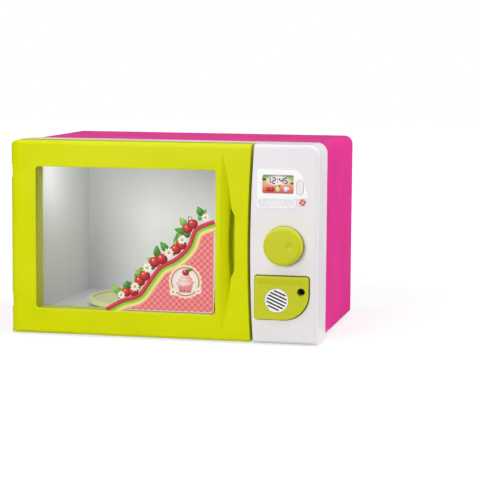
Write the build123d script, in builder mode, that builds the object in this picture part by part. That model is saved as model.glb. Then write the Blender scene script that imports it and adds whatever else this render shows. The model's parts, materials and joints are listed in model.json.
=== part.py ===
"""Toy microwave oven with an opening door, a turning knob, a press button and a turntable.

Millimetres. +X is to the right of someone who faces the door, +Y to the back, +Z up.
The origin is on the table, under the middle of the oven's box.
"""

import os
from math import cos, radians, sin, sqrt, tan

from build123d import *

os.makedirs("parts", exist_ok=True)

# ---------------------------------------------------------------- driving dimensions

# Housing and front moulding
housing_width = 391.4
housing_height = 240
housing_depth = 217
housing_wall = 2.5
housing_corner = 11
housing_low_corner = 2.5
rear_rounding = 0.8
foot_height = 4
bezel_lip = 2
bezel_depth = 58
bezel_wall = 3
bezel_low_corner = 7
panel_waist_width = 84.5
panel_edge_radius = 4
gap_edge_radius = 0.8

# Gaps and fits
running_gap = 0.05
assembly_gap = 0.3
door_panel_gap = 3.3
door_back_gap = 1
door_edge_inset = 0.5
door_level_inset = 0.1

# Door
door_thickness = 28
door_front_wall = 3
door_rim = 2.5
door_edge_radius = 5
door_edge_bow = 4.2
inner_plate = 3.5
door_screw_inset = 13
window_left_margin = 35.5
window_right_margin = 40.5
window_top_margin = 33
window_bottom_margin = 32.1
window_corner = 4.5
window_edge_radius = 1
window_seat = 2.2
tunnel_wall = 2
pane_thickness = 1.5
decal_thickness = 0.2
decal_margin = 2.8
decal_reach = 142
decal_rise = 122
decal_bends = ((0.8, 0.2), (0.55, 0.6), (0.25, 0.86))

# Handle along the door's right edge
handle_waist = 18.4
crease_bow = 14
crease_end_margin = 10
scoop_width = 16.5
scoop_depth = 13
scoop_radius = 3300
lip_thickness = 5
grip_depth = 21
grip_length = 108
grip_front_width = 7
grip_undercut = 10
lip_notch = 2.4
lip_notch_length = 84
lip_notch_ramp = 9
core_wall = 3
core_depth = 16
core_length = 58

# Hinge
pin_radius = 2
pin_end_grip = 9
knuckle_radius = 9
knuckle_gap = 1.2
lug_height = 16
lug_gap = 0.5
lug_web = 8
lug_rise = 32
notch_angle = 40

# Door catch
catch_from_edge = 4.7
catch_base_width = 7
catch_base_height = 26
catch_base_thickness = 3
catch_blade = 3
catch_blade_height = 10
catch_reach = 12
catch_slot_side = 1
catch_slot_clearance = 3
catch_screw_pitch = 17
clip_leaf = 0.6
clip_standoff = 5
clip_foot = 14
clip_screw_offset = 17

# Cavity
cavity_left_margin = 25.7
cavity_right_margin = 12.2
cavity_bottom_rise = 22
cavity_top_drop = 24
cavity_depth = 197
liner_wall = 2.5
rim_wall = 2.5
liner_ear_height = 10
liner_ear_width = 12
liner_ear_thickness = 3
liner_ear_spread = 162

# Turntable
plate_radius = 95
plate_thickness = 3
plate_rim_width = 6
plate_rim_height = 3
plate_lift = 4
plate_hub_radius = 9
spindle_radius = 5
spindle_base_radius = 14
spindle_base_height = 1.5
spindle_head_gap = 1

# Screws
screw_radius = 1.45
screw_head_radius = 2.75
screw_head_height = 1.6
screw_sink = 1.8
pilot_radius = 1.5
through_radius = 1.6
boss_radius = 3.5
post_radius = 4.5
tube_radius = 5
tube_bore_radius = 3.6
post_inset = 8.5
post_overrun = 8
long_screw = 12
short_screw = 8

# Knob
knob_proud = 14
knob_radius = 23.8
knob_from_side = 42
knob_rise = 121.3
knob_wall = 2.5
knob_edge_radius = 4
knob_dimple_radius = 5.5
knob_dimple_depth = 1.4
knob_dimple_offset = 9
knob_seat_gap = 0.5
knob_pocket_depth = 1.2
knob_pocket_gap = 0.9
shaft_radius = 4
shaft_boss_radius = 6.5
bearing_radius = 7.5
bearing_length = 11
click_wheel_radius = 11
click_wheel_thickness = 4
click_notches = 12
click_notch_radius = 1.5
click_notch_set = 0.5
shaft_clip_radius = 6.5
shaft_clip_thickness = 1
click_spring_leaf = 0.8
click_spring_length = 26
click_nose_gap = 0.15
click_nose_radius = 1.2
click_tab = 10
click_overlap = 1

# Display, press button and lamp
label_width = 38.2
label_height = 22.3
label_thickness = 0.3
label_corner = 2
label_from_side = 69.4
label_drop = 36.95
relief_height = 1.1
relief_border = 6.4
relief_right_reach = 20
relief_lean = 11
relief_corner = 3
relief_sweep = 14
strip_width = 48
strip_height = 12
strip_drop = 70.9
strip_from_side = 75.6
strip_border = 1.2
strip_ribs = 6
rib_width = 1
rib_tilt = 40
button_width = 8.6
button_height = 17.5
button_from_side = 23.2
button_drop = 51.6
button_proud = 1.5
button_body = 4
button_flange = 1.5
button_flange_thickness = 2
button_travel = 2
button_stem_radius = 2
button_stem_offset = 4.5
spring_radius = 2.4
spring_wire = 0.5
spring_turns = 6
switch_size = 6
switch_height = 3.5
switch_cap_radius = 1.7
switch_cap_height = 1
lamp_from_side = 20
lamp_drop = 69.7
lamp_radius = 4
lamp_dot_radius = 1.1
lamp_dot_spacing = 2.5
lamp_dot_turn = 10
lamp_proud = 0.5
lamp_rays = 6
lamp_ray_start = -136
lamp_ray_sweep = 156
lamp_ray_length = 4.5
lamp_ray_width = 0.7
lamp_ray_gap = 2.5
led_radius = 2.5
led_length = 8
led_collar = 1
led_dome_radius = 2.2
board_standoff = 17
board_thickness = 1.6
board_width = 62
board_height = 44
board_from_side = 42.7
board_drop = 56
board_post_radius = 3
board_corner_inset = 4
chip_width = 12
chip_height = 9
chip_thickness = 2

# Sound module
module_width = 66.9
module_height = 53.3
module_from_side = 44.45
module_rise = 56.95
module_corner = 3
module_sweep = 31
module_gap = 1.2
module_proud = 5
module_plate = 3.5
module_skirt = 2.5
module_edge_radius = 1.2
module_ribs = 9
module_band_drop = 6.5
module_rib_height = 0.6
grille_radius = 14.6
grille_offset_x = -5.5
grille_offset_z = -2.8
grille_proud = 0.3
grille_thickness = 2
grille_slots = 6
grille_slot_pitch = 4
grille_slot_width = 2
grille_slot_length = 21.6
grille_tilt = -23.5
grille_gap = 0.4
speaker_radius = 13.5
speaker_rim = 1.5
speaker_depth = 6
speaker_throat = 5.5
cone_paper = 0.5
cone_setback = 0.1
magnet_radius = 7
magnet_thickness = 4
speaker_ring_wall = 1.5
speaker_ring_depth = 6
cover_screw_x = 24.6
cover_screw_z = 8.3
cover_well_radius = 4.9
cover_well_wall = 1
cover_well_floor = 2
cover_well_depth = 6
cover_head_radius = 3.8
tray_depth = 24
tray_wall = 2
tray_flange = 1.3
tray_ear_rise = 6
tray_ear_inset = 10
tray_ear_reach = 6.2
tray_ear_width = 8
cell_radius = 5.8
cell_height = 5.4
cell_count = 3
cell_gap = 0.3
cell_cap_height = 0.7
cell_cap_radius = 4.6
cell_cup_wall = 1.5
cell_x = 17.5
cell_z = -6.7
contact_thickness = 0.4
contact_radius = 4.5
contact_width = 5
contact_leaf = 8
wire_radius = 0.7
wire_spacing = 3
lead_bend = 4
lead_overlap = 6
lead_offset = 10

# Feet and vents
foot_radius = 9
foot_inset_x = 34
foot_inset_y = 26
foot_stem_radius = 2.5
foot_cap_radius = 4
foot_cap_height = 1.5
foot_cap_taper = 15
foot_edge = 1
vent_slots = 9
vent_pitch = 10
vent_width = 3
vent_height = 60
vent_rise = 130

# ---------------------------------------------------------------- shared positions

total_depth = knob_proud + bezel_depth + housing_depth
y_back = total_depth / 2
y_joint = y_back - housing_depth
y_face = y_joint - bezel_depth
y_panel_inner = y_face + bezel_wall

x_housing = housing_width / 2
x_bezel = x_housing + bezel_lip
x_inner = x_housing - housing_wall
z_housing_bottom = foot_height
z_housing_top = foot_height + housing_height
z_bezel_bottom = z_housing_bottom - bezel_lip
z_bezel_top = z_housing_top + bezel_lip
z_inner_bottom = z_housing_bottom + housing_wall
z_inner_top = z_housing_top - housing_wall
z_middle = (z_bezel_bottom + z_bezel_top) / 2
bezel_corner = housing_corner + bezel_lip
inner_corner = housing_corner - housing_wall
inner_low_corner = housing_low_corner / 2
rear_edge_radius = rear_rounding * housing_low_corner

x_panel_waist = x_bezel - panel_waist_width
x_door_waist = x_panel_waist - door_panel_gap
door_arc_half = (z_bezel_top - z_bezel_bottom) / 2
door_arc_radius = (door_arc_half**2 + door_edge_bow**2) / (2 * door_edge_bow)

x_door_left = -x_bezel + door_edge_inset
z_door_bottom = z_bezel_bottom + door_level_inset
z_door_top = z_bezel_top - door_level_inset
door_height = z_door_top - z_door_bottom
y_door_back = y_face + door_thickness
y_frame = y_door_back + door_back_gap
frame_depth = y_joint - y_frame

window_left = x_door_left + window_left_margin
window_right = x_door_waist - window_right_margin
window_bottom = z_door_bottom + window_bottom_margin
window_top = z_door_top - window_top_margin
window_x = (window_left + window_right) / 2
window_z = (window_bottom + window_top) / 2
window_width = window_right - window_left
window_height = window_top - window_bottom
y_pane_front = y_face + door_front_wall
y_pane_back = y_pane_front + pane_thickness

x_pivot = x_door_left + door_thickness / 2
y_pivot = y_face + door_thickness / 2
lug_bottoms = [z_door_bottom + lug_rise, z_door_top - lug_rise - lug_height]

x_pocket_left = x_pivot + door_thickness / 2
x_handle_left = window_right + tunnel_wall + 1
x_crease = x_door_waist - handle_waist
x_scoop = x_crease - scoop_width

cavity_left = -x_bezel + cavity_left_margin
cavity_right = x_door_waist - cavity_right_margin
cavity_bottom = z_bezel_bottom + cavity_bottom_rise
cavity_top = z_bezel_top - cavity_top_drop
cavity_x = (cavity_left + cavity_right) / 2
cavity_z = (cavity_bottom + cavity_top) / 2
cavity_width = cavity_right - cavity_left
cavity_height = cavity_top - cavity_bottom
y_cavity_back = y_joint + cavity_depth
y_cavity_middle = (y_frame + y_cavity_back) / 2

knob_x = x_bezel - knob_from_side
knob_z = z_bezel_bottom + knob_rise
label_x = x_bezel - label_from_side + label_width / 2
label_z = z_bezel_top - label_drop - label_height / 2
button_x = x_bezel - button_from_side
button_z = z_bezel_top - button_drop
strip_x = x_bezel - strip_from_side + strip_width / 2
strip_z = z_bezel_top - strip_drop
lamp_x = x_bezel - lamp_from_side
lamp_z = z_bezel_top - lamp_drop
board_x = x_bezel - board_from_side
board_z = z_bezel_top - board_drop
y_board = y_panel_inner + board_standoff
module_x = x_bezel - module_from_side
module_z = z_bezel_bottom + module_rise
grille_x = module_x + grille_offset_x
grille_z = module_z + grille_offset_z
cover_screw = (module_x + cover_screw_x, module_z + cover_screw_z)
cell_stack = (module_x + cell_x, module_z + cell_z)
y_cover_front = y_face - module_proud
y_cover_back = y_cover_front + module_plate
y_tray_floor = y_face + tray_depth
y_switch_cap = y_board - switch_height - switch_cap_height
y_button_flange = y_panel_inner + assembly_gap
y_button_back = y_button_flange + button_flange_thickness

y_click_wheel = y_panel_inner + bearing_length + assembly_gap
y_shaft_clip = y_click_wheel + click_wheel_thickness
z_click_nose = knob_z + click_wheel_radius + click_nose_gap + click_nose_radius
click_post = (knob_x - click_spring_length, z_click_nose)
click_post_length = y_click_wheel - y_panel_inner

x_blade = x_door_waist - catch_from_edge
catch_slot_width = catch_blade + catch_slot_side + catch_slot_clearance
x_catch_slot = x_blade + (catch_slot_clearance - catch_slot_side) / 2
y_catch_base = y_door_back - catch_base_thickness
x_clip_leaf = x_blade - catch_blade / 2 - assembly_gap - clip_leaf
y_clip_seat = y_frame + bezel_wall + clip_standoff
x_leads = grille_x - lead_offset
y_leads = y_board + board_thickness + wire_radius
clip_screw = (x_clip_leaf + clip_leaf + boss_radius, z_middle + clip_screw_offset)
catch_screws = [(x_blade, z_middle + side * catch_screw_pitch / 2) for side in (-1, 1)]

foot_spots = [
    (side * (x_housing - foot_inset_x), y)
    for side in (-1, 1)
    for y in (y_joint + foot_inset_y, y_back - foot_inset_y)
]
corner_posts = [
    (side * (x_inner - post_inset), z)
    for side in (-1, 1)
    for z in (z_inner_bottom + post_inset, z_inner_top - post_inset)
]
y_post_end = y_joint + post_overrun
liner_ears = [
    (cavity_x + side * liner_ear_spread / 2, z)
    for side in (-1, 1)
    for z in (
        cavity_bottom - liner_wall - liner_ear_height / 2,
        cavity_top + liner_wall + liner_ear_height / 2,
    )
]
board_posts = [
    (board_x - board_width / 2 + board_corner_inset, board_z + board_height / 2 - board_corner_inset),
    (board_x + board_width / 2 - board_corner_inset, board_z + board_height / 2 - board_corner_inset),
    (board_x - board_width / 2 + board_corner_inset, board_z - board_height / 2 + board_corner_inset),
]
tray_ears = [
    (module_x - module_width / 2 + tray_ear_inset, module_z + module_height / 2 + tray_ear_reach),
    (module_x + module_width / 2 - tray_ear_inset, module_z + module_height / 2 + tray_ear_reach),
    (module_x - module_width / 2 + tray_ear_inset, module_z - module_height / 2 - tray_ear_reach),
    (module_x, module_z - module_height / 2 - tray_ear_reach),
]
door_screws = [
    (x, z)
    for x in (window_left + door_screw_inset, window_x, window_right - door_screw_inset)
    for z in (
        (z_door_bottom + door_rim + window_bottom - tunnel_wall) / 2,
        (z_door_top - door_rim + window_top + tunnel_wall) / 2,
    )
]

# ---------------------------------------------------------------- helpers


def front_plane(y):
    """Plane at depth y that faces the front: sketch x is +X, sketch y is +Z."""
    return Plane(origin=(0, y, 0), x_dir=(1, 0, 0), z_dir=(0, -1, 0))


def outline(half_width, z_low, z_high, top_corner, low_corner):
    """Rectangle centred on the oven with rounder top corners, as a flat face to add to a sketch."""
    with BuildSketch() as sketch:
        with Locations((0, (z_low + z_high) / 2)):
            Rectangle(2 * half_width, z_high - z_low)
        fillet(sketch.vertices().group_by(Axis.Y)[-1], top_corner)
        fillet(sketch.vertices().group_by(Axis.Y)[0], low_corner)
    return sketch.sketch


def door_edge(x_waist, z):
    """X of the bowed line between door and panel at height z, for a line with this waist."""
    return x_waist + door_arc_radius - sqrt(door_arc_radius**2 - (z - z_middle) ** 2)


def crease_x(z):
    """X of the handle's inner edge at height z."""
    half = door_height / 2 - crease_end_margin
    return x_crease - crease_bow * ((z - z_middle) / half) ** 2


def module_outline(grow):
    """Sound module's outline, offset outwards by grow, as a flat face to add to a sketch."""
    left = module_x - module_width / 2 - grow
    right = module_x + module_width / 2 + grow
    low = module_z - module_height / 2 - grow
    high = module_z + module_height / 2 + grow
    small = max(module_corner + grow, assembly_gap)
    with BuildSketch(Plane.XY) as face:
        with BuildLine():
            FilletPolyline(
                (left, low), (left, high), (right, high), (right, low),
                radius=[small, small, small, module_sweep + grow],
                close=True,
            )
        make_face()
    return face.sketch


def screws(seats, direction, length, head_radius=screw_head_radius):
    """Pan-head screws, each seated at a point, with the shank along direction."""
    with BuildPart() as group:
        for seat in seats:
            under_head = Plane(origin=seat, z_dir=direction)
            with BuildSketch(under_head):
                Circle(screw_radius)
            extrude(amount=length)
            with BuildSketch(under_head):
                Circle(head_radius)
            extrude(amount=-screw_head_height)
            with BuildSketch(under_head.offset(-screw_head_height)):
                Rectangle(head_radius, head_radius / 4)
                Rectangle(head_radius / 4, head_radius)
            extrude(amount=screw_head_height / 2, mode=Mode.SUBTRACT)
    return group.part


def save(part, node):
    """Label a finished piece and write it out."""
    part.label = node
    export_step(part, f"parts/{node}.step")


# ---------------------------------------------------------------- rear housing

with BuildPart() as rear_housing:
    with BuildSketch(front_plane(y_back)):
        add(outline(x_housing, z_housing_bottom, z_housing_top, housing_corner, housing_low_corner))
    extrude(amount=housing_depth)
    fillet(rear_housing.faces().sort_by(Axis.Y)[-1].edges(), rear_edge_radius)
    with BuildSketch(front_plane(y_back - housing_wall)):
        add(outline(x_inner, z_inner_bottom, z_inner_top, inner_corner, inner_low_corner))
    extrude(amount=housing_depth, mode=Mode.SUBTRACT)
    inner_rear = rear_housing.faces().filter_by(Axis.Y).sort_by(Axis.Y)[-2]
    fillet(inner_rear.outer_wire().edges(), rear_edge_radius / 3)

    # Screw tubes from the back wall to the front moulding's posts
    with BuildSketch(front_plane(y_back - housing_wall / 2)):
        with Locations(corner_posts):
            Circle(tube_radius)
    extrude(amount=y_back - housing_wall / 2 - y_post_end)
    with BuildSketch(front_plane(y_back)):
        with Locations(corner_posts):
            Circle(tube_bore_radius)
    extrude(amount=y_back - y_post_end - housing_wall, mode=Mode.SUBTRACT)
    with BuildSketch(front_plane(y_back)):
        with Locations(corner_posts):
            Circle(through_radius)
    extrude(amount=y_back - y_post_end + 1, mode=Mode.SUBTRACT)

    # Vents behind the cavity
    with BuildSketch(front_plane(y_back)):
        with Locations((cavity_x, z_housing_bottom + vent_rise)):
            with GridLocations(vent_pitch, 0, vent_slots, 1):
                SlotCenterToCenter(vent_height, vent_width, rotation=90)
    extrude(amount=2 * housing_wall, mode=Mode.SUBTRACT)

    # Holes for the feet's stems
    with BuildSketch(Plane.XY.offset(z_housing_bottom)):
        with Locations(foot_spots):
            Circle(foot_stem_radius + running_gap)
    extrude(amount=housing_wall, mode=Mode.SUBTRACT)
save(rear_housing.part, "rear_housing")

with BuildPart() as feet:
    with BuildSketch(Plane.XY):
        with Locations(foot_spots):
            Circle(foot_radius)
    extrude(amount=foot_height)
    chamfer(feet.edges().group_by(Axis.Z)[0], foot_edge)
    with BuildSketch(Plane.XY.offset(foot_height)):
        with Locations(foot_spots):
            Circle(foot_stem_radius)
    extrude(amount=housing_wall)
    with BuildSketch(Plane.XY.offset(foot_height + housing_wall)):
        with Locations(foot_spots):
            Circle(foot_cap_radius)
    extrude(amount=foot_cap_height, taper=foot_cap_taper)
save(feet.part, "feet")

housing_seats = [(x, y_post_end + housing_wall, z) for x, z in corner_posts]
housing_screws = screws(housing_seats, (0, -1, 0), long_screw)
save(housing_screws, "housing_screws")

# ---------------------------------------------------------------- front moulding

with BuildPart() as front_bezel:
    with BuildSketch(front_plane(y_joint)):
        add(outline(x_bezel, z_bezel_bottom, z_bezel_top, bezel_corner, bezel_low_corner))
    extrude(amount=frame_depth)

    # Control panel, as deep as the door, with a bowed left side
    with BuildSketch(front_plane(y_joint)) as panel_face:
        with BuildLine():
            ThreePointArc(
                (door_edge(x_panel_waist, z_bezel_bottom), z_bezel_bottom),
                (x_panel_waist, z_middle),
                (door_edge(x_panel_waist, z_bezel_top), z_bezel_top),
            )
            Polyline(
                (door_edge(x_panel_waist, z_bezel_top), z_bezel_top),
                (x_bezel, z_bezel_top),
                (x_bezel, z_bezel_bottom),
                (door_edge(x_panel_waist, z_bezel_bottom), z_bezel_bottom),
            )
        make_face()
        right_end = panel_face.vertices().group_by(Axis.X)[-1].sort_by(Axis.Y)
        fillet(right_end[-1], bezel_corner)
        fillet(right_end[0], bezel_low_corner)
    extrude(amount=bezel_depth)
    panel_edges = front_bezel.faces().sort_by(Axis.Y)[0].edges().sort_by(Axis.X)
    fillet(panel_edges[1:], panel_edge_radius)
    panel_edges = front_bezel.faces().sort_by(Axis.Y)[0].edges().sort_by(Axis.X)
    fillet(panel_edges[0], gap_edge_radius)

    # Hollow behind the frame and behind the panel
    with BuildSketch(front_plane(y_joint)):
        add(outline(x_inner, z_inner_bottom, z_inner_top, inner_corner, inner_low_corner))
    extrude(amount=frame_depth - bezel_wall, mode=Mode.SUBTRACT)
    with BuildSketch(front_plane(y_joint)) as panel_hollow:
        with BuildLine():
            ThreePointArc(
                (door_edge(x_panel_waist, z_inner_bottom) + bezel_wall, z_inner_bottom),
                (x_panel_waist + bezel_wall, z_middle),
                (door_edge(x_panel_waist, z_inner_top) + bezel_wall, z_inner_top),
            )
            Polyline(
                (door_edge(x_panel_waist, z_inner_top) + bezel_wall, z_inner_top),
                (x_inner, z_inner_top),
                (x_inner, z_inner_bottom),
                (door_edge(x_panel_waist, z_inner_bottom) + bezel_wall, z_inner_bottom),
            )
        make_face()
        inner_end = panel_hollow.vertices().group_by(Axis.X)[-1].sort_by(Axis.Y)
        fillet(inner_end[-1], inner_corner)
        fillet(inner_end[0], inner_low_corner)
    extrude(amount=bezel_depth - bezel_wall, mode=Mode.SUBTRACT)

    # Rim round the cavity's mouth
    with BuildSketch(front_plane(y_joint)):
        with Locations((cavity_x, cavity_z)):
            Rectangle(cavity_width + 2 * rim_wall, cavity_height + 2 * rim_wall)
    extrude(amount=frame_depth)
    with BuildSketch(front_plane(y_joint)):
        with Locations((cavity_x, cavity_z)):
            Rectangle(cavity_width, cavity_height)
    extrude(amount=frame_depth, mode=Mode.SUBTRACT)

    # Posts for the housing's screws, bosses for the cavity liner
    for x, z in corner_posts:
        front_end = y_face + bezel_wall / 2 if x > x_panel_waist else y_frame + bezel_wall / 2
        with BuildSketch(front_plane(y_post_end)):
            with Locations((x, z)):
                Circle(post_radius)
        extrude(amount=y_post_end - front_end)
        with BuildSketch(front_plane(y_post_end)):
            with Locations((x, z)):
                Circle(pilot_radius)
        extrude(amount=long_screw, mode=Mode.SUBTRACT)
    with BuildSketch(front_plane(y_joint)):
        with Locations(liner_ears):
            Circle(boss_radius)
    extrude(amount=frame_depth - bezel_wall / 2)
    with BuildSketch(front_plane(y_joint)):
        with Locations(liner_ears):
            Circle(pilot_radius)
    extrude(amount=short_screw, mode=Mode.SUBTRACT)

    # Hinge lugs
    for z_lug in lug_bottoms:
        with BuildSketch(Plane.XY.offset(z_lug)):
            with Locations((x_pivot, y_pivot)):
                Circle(knuckle_radius)
            with Locations((x_pivot, (y_pivot + y_frame + bezel_wall / 2) / 2)):
                Rectangle(lug_web, y_frame + bezel_wall / 2 - y_pivot)
            with Locations((x_pivot, y_pivot)):
                Circle(pin_radius + running_gap, mode=Mode.SUBTRACT)
        extrude(amount=lug_height)

    # Slot for the door catch and the boss of its clip
    with BuildSketch(front_plane(y_frame + bezel_wall)):
        with Locations((x_catch_slot, z_middle)):
            Rectangle(catch_slot_width, catch_blade_height + 2 * catch_slot_clearance)
    extrude(amount=bezel_wall, mode=Mode.SUBTRACT)
    with BuildSketch(front_plane(y_clip_seat)):
        with Locations(clip_screw):
            Circle(boss_radius)
    extrude(amount=y_clip_seat - y_frame - bezel_wall / 2)
    with BuildSketch(front_plane(y_clip_seat)):
        with Locations(clip_screw):
            Circle(pilot_radius)
    extrude(amount=short_screw, mode=Mode.SUBTRACT)

    # Raised frame round the display and ribbed strip under it
    rib_length = (strip_height - 2 * strip_border) / cos(radians(rib_tilt))
    with BuildSketch(front_plane(y_face)) as relief:
        with BuildLine():
            left = label_x - label_width / 2 - relief_border
            top = label_z + label_height / 2 + relief_border
            low = strip_z + strip_height / 2
            right = label_x + label_width / 2 + relief_right_reach
            FilletPolyline(
                (left, low), (left, top), (right - relief_lean, top), (right, low),
                radius=[relief_corner, relief_corner, relief_sweep, relief_corner],
                close=True,
            )
        make_face()
        with Locations((label_x, label_z)):
            RectangleRounded(
                label_width + 2 * assembly_gap,
                label_height + 2 * assembly_gap,
                label_corner + assembly_gap,
                mode=Mode.SUBTRACT,
            )
        with Locations((strip_x, strip_z)):
            SlotOverall(strip_width, strip_height)
            with Locations((-strip_height / 2, 0)):
                Rectangle(strip_width - strip_height, strip_height)
            SlotOverall(
                strip_width - 2 * strip_border,
                strip_height - 2 * strip_border,
                mode=Mode.SUBTRACT,
            )
            with GridLocations((strip_width - strip_height) / strip_ribs, 0, strip_ribs, 1):
                Rectangle(rib_width, rib_length, rotation=rib_tilt)
    extrude(amount=relief_height)

    # Lamp's raised rays
    with BuildSketch(front_plane(y_face)):
        with Locations((lamp_x, lamp_z)):
            with PolarLocations(
                lamp_radius + lamp_ray_gap + lamp_ray_length / 2,
                lamp_rays,
                start_angle=lamp_ray_start,
                angular_range=lamp_ray_sweep,
                endpoint=True,
            ):
                Rectangle(lamp_ray_length, lamp_ray_width)
    extrude(amount=relief_height / 2)

    # Openings for the button, lamp, knob and sound module
    with BuildSketch(front_plane(y_panel_inner)):
        with Locations((button_x, button_z)):
            SlotOverall(button_height + 2 * assembly_gap, button_width + 2 * assembly_gap, rotation=90)
        with Locations((lamp_x, lamp_z)):
            Circle(lamp_radius + assembly_gap)
        add(module_outline(module_gap))
    extrude(amount=bezel_wall + 2 * relief_height, mode=Mode.SUBTRACT)
    with BuildSketch(front_plane(y_face + knob_pocket_depth)):
        with Locations((knob_x, knob_z)):
            Circle(knob_radius + knob_pocket_gap)
    extrude(amount=knob_pocket_depth + relief_height, mode=Mode.SUBTRACT)
    with BuildSketch(front_plane(y_panel_inner + bearing_length)):
        with Locations((knob_x, knob_z)):
            Circle(bearing_radius)
    extrude(amount=bearing_length)
    with BuildSketch(front_plane(y_panel_inner + bearing_length)):
        with Locations((knob_x, knob_z)):
            Circle(shaft_radius + running_gap)
    extrude(amount=bearing_length + bezel_wall, mode=Mode.SUBTRACT)

    # Standoffs for the circuit board, the module's tray and the click spring
    for spots, length, radius in (
        (board_posts, board_standoff, board_post_radius),
        (tray_ears, tray_ear_rise, board_post_radius),
        ([click_post], click_post_length, board_post_radius),
    ):
        with BuildSketch(front_plane(y_panel_inner + length)):
            with Locations(spots):
                Circle(radius)
        extrude(amount=length)
        with BuildSketch(front_plane(y_panel_inner + length)):
            with Locations(spots):
                Circle(pilot_radius)
        extrude(amount=length, mode=Mode.SUBTRACT)
save(front_bezel.part, "front_bezel")

# ---------------------------------------------------------------- cavity liner

with BuildPart() as cavity_liner:
    liner_depth = y_cavity_back - y_joint
    with BuildSketch(front_plane(y_cavity_back + liner_wall)):
        with Locations((cavity_x, cavity_z)):
            Rectangle(cavity_width + 2 * liner_wall, cavity_height + 2 * liner_wall)
    extrude(amount=liner_depth + liner_wall)
    with BuildSketch(front_plane(y_cavity_back)):
        with Locations((cavity_x, cavity_z)):
            Rectangle(cavity_width, cavity_height)
    extrude(amount=liner_depth, mode=Mode.SUBTRACT)
    with BuildSketch(front_plane(y_joint + liner_ear_thickness)):
        with Locations(liner_ears):
            Rectangle(liner_ear_width, liner_ear_height)
            Circle(through_radius, mode=Mode.SUBTRACT)
    extrude(amount=liner_ear_thickness)
save(cavity_liner.part, "cavity_liner")

liner_seats = [(x, y_joint + liner_ear_thickness, z) for x, z in liner_ears]
liner_screws = screws(liner_seats, (0, -1, 0), short_screw)
save(liner_screws, "liner_screws")

# ---------------------------------------------------------------- turntable

z_spindle_base = cavity_bottom + spindle_base_height
z_plate = cavity_bottom + plate_lift
z_spindle_top = z_plate + plate_thickness - spindle_head_gap - assembly_gap

with BuildPart() as turntable_spindle:
    with BuildSketch(Plane.XY.offset(cavity_bottom)):
        with Locations((cavity_x, y_cavity_middle)):
            Circle(spindle_base_radius)
    extrude(amount=spindle_base_height)
    with BuildSketch(Plane.XY.offset(z_spindle_base)):
        with Locations((cavity_x, y_cavity_middle)):
            Circle(spindle_radius)
    extrude(amount=z_spindle_top - z_spindle_base)
save(turntable_spindle.part, "turntable_spindle")

with BuildPart() as turntable_plate:
    with BuildSketch(Plane.XY.offset(z_plate)):
        with Locations((cavity_x, y_cavity_middle)):
            Circle(plate_radius)
    extrude(amount=plate_thickness)
    with BuildSketch(Plane.XY.offset(z_plate + plate_thickness)):
        with Locations((cavity_x, y_cavity_middle)):
            Circle(plate_radius)
            Circle(plate_radius - plate_rim_width, mode=Mode.SUBTRACT)
    extrude(amount=plate_rim_height)
    fillet(turntable_plate.edges().group_by(Axis.Z)[-1], plate_rim_height / 3)
    with BuildSketch(Plane.XY.offset(z_spindle_base + assembly_gap)):
        with Locations((cavity_x, y_cavity_middle)):
            Circle(plate_hub_radius)
    extrude(amount=z_plate - z_spindle_base - assembly_gap)
    with BuildSketch(Plane.XY.offset(z_spindle_base)):
        with Locations((cavity_x, y_cavity_middle)):
            Circle(spindle_radius + running_gap)
    extrude(amount=z_spindle_top + assembly_gap - z_spindle_base, mode=Mode.SUBTRACT)
save(turntable_plate.part, "turntable_plate")

# ---------------------------------------------------------------- door

# Hollow that the fingers reach into: it slopes down from the window to the handle's inner edge
with BuildPart() as scoop:
    with BuildSketch(front_plane(y_face + grip_depth)):
        with BuildLine():
            ThreePointArc(
                (crease_x(z_door_bottom), z_door_bottom),
                (x_crease, z_middle),
                (crease_x(z_door_top), z_door_top),
            )
            Polyline(
                (crease_x(z_door_top), z_door_top),
                (x_scoop - scoop_width, z_door_top),
                (x_scoop - scoop_width, z_door_bottom),
                (crease_x(z_door_bottom), z_door_bottom),
            )
        make_face()
    extrude(amount=2 * grip_depth)
    with BuildSketch(Plane.YZ.offset(x_scoop)):
        with Locations((y_face - scoop_radius, z_middle)):
            Circle(scoop_radius)
    extrude(amount=2 * scoop_width, dir=(scoop_width, scoop_depth, 0), mode=Mode.INTERSECT)

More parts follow.
